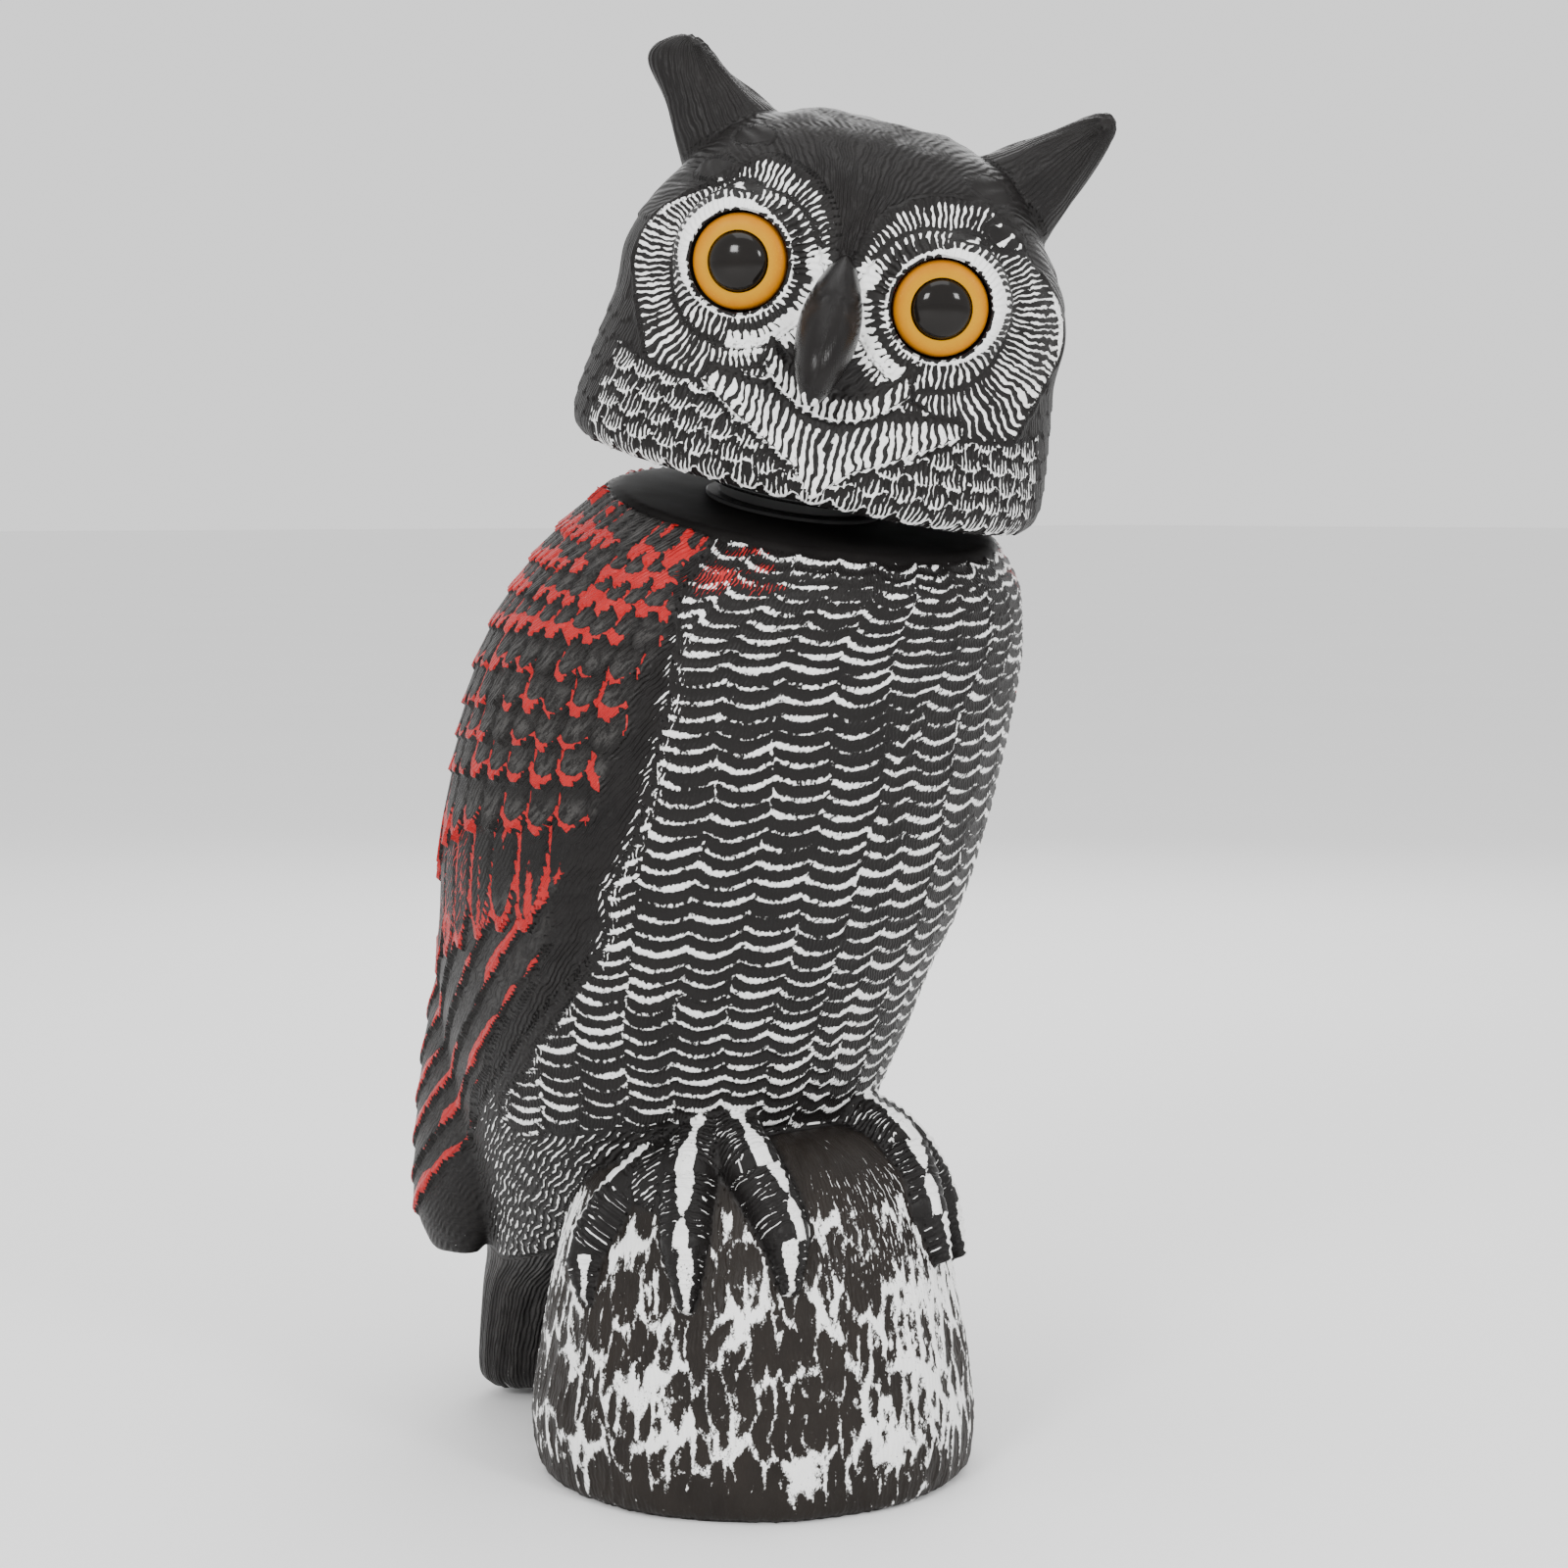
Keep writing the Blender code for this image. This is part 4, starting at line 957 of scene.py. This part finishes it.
def paint_beard(skin):
    """Two hanging tiers of upright strokes with white lower edges."""
    for tier, low, high, height in skin.tiers:
        above = skin.z - low
        shade = 0.45 * ramp(-2.6, -0.8, skin.z - high)
        skin.lay(
            tier, white=0.8 - above, cover=0.66 - 0.16 * above / height - shade,
            stroke=skin.u / 2.3, run=above / 6.0,
        )
        skin.rise += np.where(tier, 1.8 * np.exp(-above / 5.0), 0.0)


def paint_skirt(skin):
    """Rows of small scales, white on the skirt below the face and bare on the nape."""
    u, z = skin.u, skin.z
    rows_v = np.interp(z, SKIRT_ROWS, np.arange(len(SKIRT_ROWS))) + waver(0.25, u / 11.0, 0.0, seed=41.0)
    across_u = u + waver(1.2, u / 7.0, z / 7.0, seed=43.0)
    _, _, across, above = scales(across_u, rows_v, lambda row: SKIRT_PITCH, SKIRT_SCALLOP)
    lift = above * SCALE_HEIGHT
    skin.gap = (0.5 - np.abs(across)) * SKIRT_PITCH
    fade = ramp(67.0, 60.0, skin.turn)
    # cover falls with lift up each scale: painted shadow under the overhanging row above
    skin.lay(
        skin.skirt, white=0.75 - lift - 3.0 * (1.0 - fade), stroke=u / 1.35, run=z / 4.5,
        cover=fade * (0.56 * ramp(0.1, 1.0, skin.gap) - 0.06 * lift),
    )
    skin.lay(skin.nape, hair=0.7, stroke=u / 1.4, run=z / 4.0)
    scale_rise = 0.85 * np.exp(-lift / 4.0) - 0.45 * bump(skin.gap, 0.0, 0.6)
    skin.rise += scale_rise * (skin.skirt + 0.6 * skin.nape_fade * skin.nape)


def paint_crown(skin):
    """Flowing grooves on the crown, and lengthwise ones on the ears."""
    x, y, z = skin.x, skin.y, skin.z
    head_z, head_front, head_back, head_width = columns_of(HEAD_SECTIONS) * MM
    depth = np.interp(z, head_z, (head_back - head_front) / 2.0)
    middle = np.interp(z, head_z, (head_back + head_front) / 2.0)
    rho = np.hypot(x / np.interp(z, head_z, head_width), (y - middle) / depth)
    ear = (z > 74.0) & (np.abs(x) > 26.0) & ((rho - 1.0) * depth > 2.0)
    ear_along = 0.62 * np.abs(x) + 0.785 * z
    ear_across = 0.785 * np.abs(x) - 0.62 * z + 23.6
    skin.lay(ear, stroke=np.arctan2(y - 4.0, ear_across) * 7.0, run=ear_along / 8.0)
    grooves = noise(skin.fields["stroke"] / 1.7, skin.fields["run"] * 0.8, seed=47.0) - 0.4
    skin.rise += skin.crown * 0.9 * grooves


def finish_head_zones(skin):
    """Leaves the beak smooth and glossy, and the eye bosses and the rim's underside plain."""
    skin.lay(skin.beak, hair=0.05, polish=1.0)
    skin.lay(skin.boss, white=NO_PAINT, cover=0.0)
    under = (skin.z < -0.5) | ((skin.z < 1.0) & (np.hypot(skin.x, skin.y) < 56.0))
    skin.rise[skin.beak | skin.boss | under] = 0.0


def make_head(material):
    skin = Skin("head_skin", head_sources(), HEAD_VOXEL, 4)
    survey_head(skin)
    for paint in (paint_brow, paint_disc, paint_beard, paint_skirt, paint_crown):
        paint(skin)
    skin.calm_seams("cover", "hair")
    finish_head_zones(skin)
    skin.emboss()
    notches = ramp(1.4, 0.0, skin.gap) * ramp(3.5, 0.5, skin.z) * (skin.y < 60.0)
    skin.points[:, 2] += RIM_NOTCH * notches / MM
    skin.store()
    here = Matrix.Identity(4)
    cut(skin.piece, RECESS_RADIUS, -CUT_CLEAR, RECESS_DEPTH, here)
    cut(skin.piece, UPPER_SEAT_BORE, RECESS_DEPTH - CUT_CLEAR, RECESS_DEPTH + CEILING_HOLE_DEPTH, here)
    for sign in (-1.0, 1.0):
        cut(skin.piece, EYE_HOLE_RADIUS, -EYE_POCKET, CUT_CLEAR, eye_frame(sign))
    skin.piece.data.transform(head_frame())
    shade(skin.piece, 60.0)
    hand_over(skin.piece, material, "head", "head_shell")


# ---------------------------------------------------------------- eyes, seats and spring
def make_eyes(amber, black):
    """Turned amber rings, and black domes whose stems stand in the rings' cups."""
    floor = -EYE_POCKET + GAP
    cup = PUPIL_RADIUS + GAP
    iris = [(0.0, -IRIS_CUP_DEPTH), (cup, -IRIS_CUP_DEPTH), (cup, IRIS_LIP)]
    for i in range(13):
        t = i / 12.0
        radius = cup + (IRIS_RADIUS - cup) * math.sin(t * math.pi / 2.0) ** 0.9
        iris.append((max(radius, cup + 0.0001 * (i + 1)), IRIS_CROWN - IRIS_FALL * t**2.6))
    iris += [(IRIS_RADIUS, floor), (0.0, floor)]
    dome = [(0.0, PUPIL_SHOULDER + PUPIL_DOME)]
    for i in range(1, 17):
        a = math.pi / 2.0 * i / 16
        dome.append((PUPIL_RADIUS * math.sin(a), PUPIL_SHOULDER + PUPIL_DOME * math.cos(a)))
    dome += [(PUPIL_RADIUS, -PUPIL_STEM), (0.0, -PUPIL_STEM)]
    for side, sign in (("right", -1.0), ("left", 1.0)):
        place = head_frame() @ eye_frame(sign)
        back = np.array(place.inverted())
        for part, outline, material in (("iris", iris, amber), ("pupil", dome, black)):
            piece = turned(f"{part}_{side}", outline, place)
            local = points_of(piece.data) @ back[:3, :3].T + back[:3, 3]
            set_field(piece.data, "radius", np.hypot(local[:, 0], local[:, 1]) * MM)
            hand_over(piece, material, "head", f"eye_{part}_{side}")


def seat_outline(bore):
    inner = SEAT_BOSS_RADIUS - SEAT_BOSS_WALL
    return (
        (bore, SEAT_WEB), (inner - 0.0004, SEAT_WEB), (inner, SEAT_WEB + 0.0004),
        (inner, SEAT_BOSS - 0.0003), (inner + 0.0003, SEAT_BOSS), (SEAT_BOSS_RADIUS - 0.0006, SEAT_BOSS),
        (SEAT_BOSS_RADIUS, SEAT_BOSS - 0.0006), (SEAT_BOSS_RADIUS, SEAT_FLANGE + 0.0003),
        (SEAT_BOSS_RADIUS + 0.0003, SEAT_FLANGE), (SEAT_FLANGE_RADIUS - 0.0003, SEAT_FLANGE),
        (SEAT_FLANGE_RADIUS, SEAT_FLANGE - 0.0003), (SEAT_FLANGE_RADIUS, 0.0), (bore, 0.0),
    )


def make_seats(material):
    lower = plate_frame() @ Matrix.Translation((0.0, 0.0, GAP))
    ceiling = Matrix.Translation((0.0, 0.0, RECESS_DEPTH - GAP))
    upper = head_frame() @ ceiling @ Matrix.Rotation(math.pi, 4, "X")
    for name, node, bore, place, body in (
        ("seat_lower", "lower_spring_seat", LOWER_SEAT_BORE, lower, "turntable"),
        ("seat_upper", "upper_spring_seat", UPPER_SEAT_BORE, upper, "head"),
    ):
        hand_over(turned(name, seat_outline(bore), place), material, body, node)


def spring_line():
    """Four points of a cubic that leaves both seats square to them."""
    neck = plate_frame()
    head = head_frame()
    rise = GAP + SEAT_FLANGE + GAP + WIRE_RADIUS
    drop = RECESS_DEPTH - rise
    return (
        neck @ Vector((0.0, 0.0, rise)),
        neck @ Vector((0.0, 0.0, rise + SPRING_STRAIGHT)),
        head @ Vector((0.0, 0.0, drop - SPRING_STRAIGHT)),
        head @ Vector((0.0, 0.0, drop)),
    )


def cubic(points, t):
    a, b, c, d = points
    s = 1.0 - t
    return a * s**3 + b * (3 * s * s * t) + c * (3 * s * t * t) + d * t**3


def spring_point(line, t):
    axis = (cubic(line, min(t + 0.01, 1.0)) - cubic(line, max(t - 0.01, 0.0))).normalized()
    across = (Vector((1.0, 0.0, 0.0)) - axis * axis.x).normalized()
    angle = 2.0 * math.pi * SPRING_TURNS * t
    turn = across * math.cos(angle) + axis.cross(across) * math.sin(angle)
    return cubic(line, t) + turn * SPRING_RADIUS


def make_spring(material):
    line = spring_line()
    for name, low, high, bodies, nodes in (
        ("spring_low", 0.0, 0.25, ("turntable", "neck_bend"), ("neck_spring_turns_1",)),
        ("spring_middle", 0.25, 0.5, ("neck_bend", "neck_lean"), ("neck_spring_turns_2",)),
        ("spring_high", 0.5, 1.0, ("neck_lean", "head"), ("neck_spring_turns_3", "neck_spring_turns_4")),
    ):
        steps = round((high - low) * SPRING_TURNS * WIRE_STEPS)
        path = [spring_point(line, low + (high - low) * i / steps) for i in range(steps + 1)]
        bm = bmesh.new()
        rings = []
        for i, point in enumerate(path):
            along = (path[min(i + 1, steps)] - path[max(i - 1, 0)]).normalized()
            across = along.cross(Vector((0.0, 0.0, 1.0))).normalized()
            across *= WIRE_RADIUS
            rings.append(oval(point, across, along.cross(across), WIRE_SIDES))
        loft_into(bm, rings)
        piece = new_piece(name, bm)
        shade(piece, 50.0)
        piece.data.materials.append(material)
        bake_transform(piece)
        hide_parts(*nodes)


# ---------------------------------------------------------------- materials
MOULDING_BLACK = ((0.0045, 0.0040, 0.0040), (0.0125, 0.0110, 0.0105))
ROCK_BROWN = ((0.0070, 0.0052, 0.0042), (0.0220, 0.0170, 0.0135))
BRUSHED_GREY = (0.075, 0.072, 0.069)
SPECK_GREY = (0.16, 0.15, 0.15)
PAINT_WHITE = ((0.80, 0.80, 0.79), (0.93, 0.93, 0.92))
PAINT_RED = ((0.30, 0.008, 0.010), (0.46, 0.020, 0.020))
# the outer amber is the iris colour darkened by painted shade at its rim
IRIS_AMBER_AND_RIM_SHADE = ((0.47, 0.215, 0.0), (0.40, 0.135, 0.0))            # inner, outer
AMBER_SPECK = (0.58, 0.28, 0.0)
STUDIO_WHITE = ((0.86, 0.86, 0.86), (0.89, 0.89, 0.89))


class Graph:
    """Short calls that add shader nodes; arguments are numbers or sockets."""

    def __init__(self, name):
        self.material = bpy.data.materials.new(name)
        self.material.use_nodes = True
        self.tree = self.material.node_tree
        self.shader = self.tree.nodes["Principled BSDF"]

    def node(self, kind, **settings):
        made = self.tree.nodes.new(kind)
        for key, value in settings.items():
            setattr(made, key, value)
        return made

    def plug(self, socket, value):
        if isinstance(value, bpy.types.NodeSocket):
            self.tree.links.new(value, socket)
        elif isinstance(value, tuple) and len(value) == 3 and socket.type == "RGBA":
            socket.default_value = (*value, 1.0)
        else:
            socket.default_value = value

    def math(self, operation, *values, clamp=False):
        made = self.node("ShaderNodeMath", operation=operation, use_clamp=clamp)
        for socket, value in zip(made.inputs, values):
            self.plug(socket, value)
        return made.outputs[0]

    def scaled(self, x, factor, offset=0.0):
        return self.math("MULTIPLY_ADD", x, factor, offset)

    def step(self, x, low, high):
        made = self.node("ShaderNodeMapRange", interpolation_type="SMOOTHSTEP")
        for socket, value in zip(made.inputs, (x, low, high, 0.0, 1.0)):
            self.plug(socket, value)
        return made.outputs[0]

    def mix(self, factor, a, b):
        made = self.node("ShaderNodeMix", data_type="RGBA")
        self.plug(made.inputs[0], factor)
        self.plug(made.inputs[6], a)
        self.plug(made.inputs[7], b)
        return made.outputs[2]

    def field(self, name):
        return self.node("ShaderNodeAttribute", attribute_name=name).outputs["Fac"]

    def place(self):
        return self.node("ShaderNodeTexCoord").outputs["Object"]

    def vector(self, x, y, z=0.0):
        made = self.node("ShaderNodeCombineXYZ")
        for socket, value in zip(made.inputs, (x, y, z)):
            self.plug(socket, value)
        return made.outputs[0]

    def noise(self, vector, scale, detail=2.0, roughness=0.5):
        made = self.node("ShaderNodeTexNoise")
        self.plug(made.inputs["Vector"], vector)
        for key, value in (("Scale", scale), ("Detail", detail), ("Roughness", roughness)):
            self.plug(made.inputs[key], value)
        return made.outputs[0]

    def bump(self, height):
        """Relief in millimetres."""
        made = self.node("ShaderNodeBump")
        for key, value in (("Height", height), ("Distance", 1.0 / MM), ("Strength", 1.0)):
            self.plug(made.inputs[key], value)
        self.plug(self.shader.inputs["Normal"], made.outputs[0])

    def finish(self, colour, roughness, **uniform):
        self.plug(self.shader.inputs["Base Color"], colour)
        self.plug(self.shader.inputs["Roughness"], roughness)
        for key, value in uniform.items():
            self.shader.inputs[key.replace("_", " ")].default_value = value
        return self.material


def painted_plastic(name):
    """Black moulding with white and red paint, drawn from the skin's fields."""
    g = Graph(name)
    place = g.place()
    stroke = g.field("stroke")
    run = g.field("run")
    hair = g.field("hair")
    rock = g.field("rock")
    grain = g.noise(place, 1900.0, 3.0)
    cloud = g.noise(place, 75.0, 4.0)
    warp = g.noise(g.vector(g.scaled(stroke, 0.23), g.scaled(run, 0.8), 3.0), 1.0, 2.0)
    bent = g.math("ADD", stroke, g.scaled(warp, 2.2))
    stripe = g.scaled(g.math("SINE", g.scaled(bent, 2.0 * math.pi)), 0.5, 0.5)
    jag = g.noise(g.vector(g.scaled(bent, 1.15), g.scaled(run, 1.3)), 1.0, 3.0, 0.6)
    value = g.math("ADD", g.scaled(stripe, 0.55), g.scaled(jag, 1.3, -0.45))
    need = g.scaled(g.field("cover"), -1.15, 1.12)
    strokes = g.step(g.math("SUBTRACT", value, need), -0.03, 0.03)
    frayed = g.scaled(rock, -0.9, 2.2)
    ragged = g.math("MULTIPLY", g.math("SUBTRACT", jag, 0.5), frayed)
    ragged = g.math("ADD", ragged, g.scaled(grain, 0.7, -0.35))
    solid = g.step(g.math("ADD", g.field("white"), ragged), -0.12, 0.12)
    worn = g.step(g.math("ADD", grain, g.scaled(cloud, 0.5)), 1.02, 0.94)
    white = g.math("MULTIPLY", g.math("MAXIMUM", strokes, solid), worn)
    red_need = g.scaled(g.field("red_cover"), -1.15, 1.12)
    red_strokes = g.step(g.math("SUBTRACT", value, red_need), -0.04, 0.04)
    red_ragged = g.math("ADD", g.scaled(jag, 1.5, -0.75), g.scaled(cloud, 1.0, -0.5))
    red_solid = g.step(g.math("ADD", g.field("red"), red_ragged), -0.12, 0.12)
    red = g.math("MAXIMUM", red_strokes, red_solid)
    white = g.math("MULTIPLY", white, g.scaled(red, -1.0, 1.0), clamp=True)

    base = g.mix(cloud, *MOULDING_BLACK)
    base = g.mix(g.math("MULTIPLY", rock, 0.8), base, g.mix(cloud, *ROCK_BROWN))
    bristles = g.step(g.math("ADD", jag, g.scaled(grain, 0.4)), 0.55, 0.85)
    brushed = g.math("MULTIPLY", g.field("dry"), bristles)
    base = g.mix(g.math("MULTIPLY", brushed, 0.7), base, BRUSHED_GREY)
    base = g.mix(g.math("MULTIPLY", g.step(grain, 0.66, 0.76), 0.07), base, SPECK_GREY)
    colour = g.mix(red, g.mix(white, base, g.mix(cloud, *PAINT_WHITE)), g.mix(cloud, *PAINT_RED))

    relief = g.math("MULTIPLY", g.math("ADD", stripe, g.scaled(jag, 0.9)), g.scaled(hair, 0.34))
    relief = g.math("ADD", relief, g.scaled(white, 0.16))
    relief = g.math("ADD", relief, g.scaled(red, 0.20))
    relief = g.math("ADD", relief, g.scaled(grain, 0.05))
    g.bump(relief)
    rough = g.scaled(cloud, 0.20, 0.34)
    rough = g.math("ADD", rough, g.scaled(white, 0.08))
    rough = g.math("SUBTRACT", rough, g.scaled(red, 0.16))
    rough = g.math("SUBTRACT", rough, g.scaled(g.field("polish"), 0.20), clamp=True)
    return g.finish(colour, rough, Specular_IOR_Level=0.16)


def plain(name, dark, light, roughness, scale=400.0, grain_height=0.02, **uniform):
    """A plain finish with cloudy colour, fine grain and slightly uneven gloss."""
    g = Graph(name)
    place = g.place()
    cloud = g.noise(place, scale, 4.0)
    grain = g.noise(place, scale * 9.0, 2.0)
    g.bump(g.scaled(g.math("ADD", grain, cloud), grain_height))
    mottle = g.math("MULTIPLY_ADD", grain, 0.35, g.scaled(cloud, 0.65))
    return g.finish(g.mix(mottle, dark, light), g.scaled(cloud, 0.16, roughness - 0.08), **uniform)


def iris_material():
    """Amber with painted shade that deepens it towards the rim, from the distance to the eye's own axis."""
    g = Graph("iris_amber_rim_shade")
    place = g.place()
    radius = g.field("radius")
    cloud = g.noise(place, 260.0, 3.0)
    # painted shade: the amber deepens towards the iris rim
    out = g.step(g.math("ADD", radius, g.scaled(cloud, 2.2, -1.1)), 8.6, 12.6)
    colour = g.mix(out, *IRIS_AMBER_AND_RIM_SHADE)
    fine = g.noise(place, 2400.0, 2.0)
    colour = g.mix(g.step(fine, 0.62, 0.8), colour, AMBER_SPECK)
    g.bump(g.scaled(g.math("ADD", cloud, fine), 0.03))
    return g.finish(colour, g.scaled(cloud, 0.15, 0.38), Specular_IOR_Level=0.10)


# ---------------------------------------------------------------- stage, light and camera
FLOOR_HALF = 30.0
FLOOR_DROP = 0.0002
WORLD_LIGHT = 1.25
LAMPS = (                        # name, place, side, watts
    ("key", (-1.35, -0.65, 0.85), 0.34, 14.0),
    ("fill", (0.05, -1.45, 0.75), 0.28, 9.0),
    ("top", (-0.2, -0.3, 1.8), 1.2, 14.0),
    ("back", (0.9, 0.9, 0.9), 0.9, 8.0),
)
LAMP_AIM = Vector((0.0, 0.0, 0.22))
CAMERA_PLACE = (-0.5541, -0.7092, 0.2760)
CAMERA_LOOK = Vector((0.62091, 0.77892, -0.08803))
CAMERA_RIGHT = Vector((0.78196, -0.62333, 0.0))
CAMERA_LENS = 72.6
CAMERA_SENSOR = 36.0


def make_floor():
    mesh = bpy.data.meshes.new("floor")
    corners = [(x * FLOOR_HALF, y * FLOOR_HALF, 0.0) for x, y in ((-1, -1), (1, -1), (1, 1), (-1, 1))]
    mesh.from_pydata(corners, [], [(0, 1, 2, 3)])
    floor = new_object("floor", mesh)
    floor.location.z = -FLOOR_DROP
    g = Graph("floor_white")
    cloud = g.noise(g.place(), 3.0, 2.0)
    mesh.materials.append(g.finish(g.mix(cloud, *STUDIO_WHITE), 0.75))


def make_lights():
    world = bpy.data.worlds.new("studio")
    world.use_nodes = True
    background = world.node_tree.nodes["Background"]
    background.inputs["Color"].default_value = (1.0, 1.0, 1.0, 1.0)
    background.inputs["Strength"].default_value = WORLD_LIGHT
    bpy.context.scene.world = world
    for name, place, size, power in LAMPS:
        lamp = bpy.data.lights.new(name, "AREA")
        lamp.shape = "RECTANGLE"
        lamp.size = size
        lamp.size_y = size
        lamp.energy = power
        light = new_object(name, lamp)
        light.location = place
        light.rotation_euler = (LAMP_AIM - Vector(place)).to_track_quat("-Z", "Y").to_euler()


def make_camera():
    lens = bpy.data.cameras.new("camera")
    lens.sensor_width = CAMERA_SENSOR
    lens.lens = CAMERA_LENS
    camera = new_object("camera", lens)
    axes = Matrix((CAMERA_RIGHT, CAMERA_RIGHT.cross(CAMERA_LOOK), -CAMERA_LOOK))
    camera.matrix_world = Matrix.Translation(CAMERA_PLACE) @ axes.transposed().to_4x4()
    bpy.context.scene.camera = camera


def finish_cad_nodes(finishes):
    """Gives the small fittings that the CAD already shows in full their materials."""
    for node, material in finishes.items():
        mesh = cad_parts[node].data
        mesh.materials.clear()
        mesh.materials.append(material)


PUPIL_BLACK = ((0.004, 0.0035, 0.003), (0.009, 0.007, 0.006))
SEAT_BLACK = ((0.012, 0.012, 0.012), (0.024, 0.024, 0.024))
WIRE_BLACK = ((0.010, 0.010, 0.010), (0.022, 0.022, 0.022))
PLUG_BLACK = ((0.022, 0.022, 0.022), (0.042, 0.042, 0.042))
NYLON_WHITE = ((0.52, 0.52, 0.48), (0.62, 0.62, 0.58))
ZINC_GREY = ((0.42, 0.43, 0.45), (0.60, 0.61, 0.63))

make_body(painted_plastic("painted_body"))
make_head(painted_plastic("painted_head"))
amber = iris_material()
gloss = plain("pupil_black", *PUPIL_BLACK, 0.12, 120.0, 0.002, Specular_IOR_Level=0.22)
make_eyes(amber, gloss)
make_seats(plain("seat_black", *SEAT_BLACK, 0.42))
make_spring(plain("spring_black", *WIRE_BLACK, 0.20, 700.0))
steel = plain("zinc_steel", *ZINC_GREY, 0.34, 900.0, Metallic=1.0)
finish_cad_nodes({
    "pivot_bush": plain("nylon_white", *NYLON_WHITE, 0.45),
    "fill_plug": plain("plug_black", *PLUG_BLACK, 0.70),
    "pivot_screw": steel,
    "pivot_washer": steel,
    "seat_screw_1": steel,
    "seat_screw_2": steel,
    "seat_screw_3": steel,
})
make_floor()
make_lights()
make_camera()
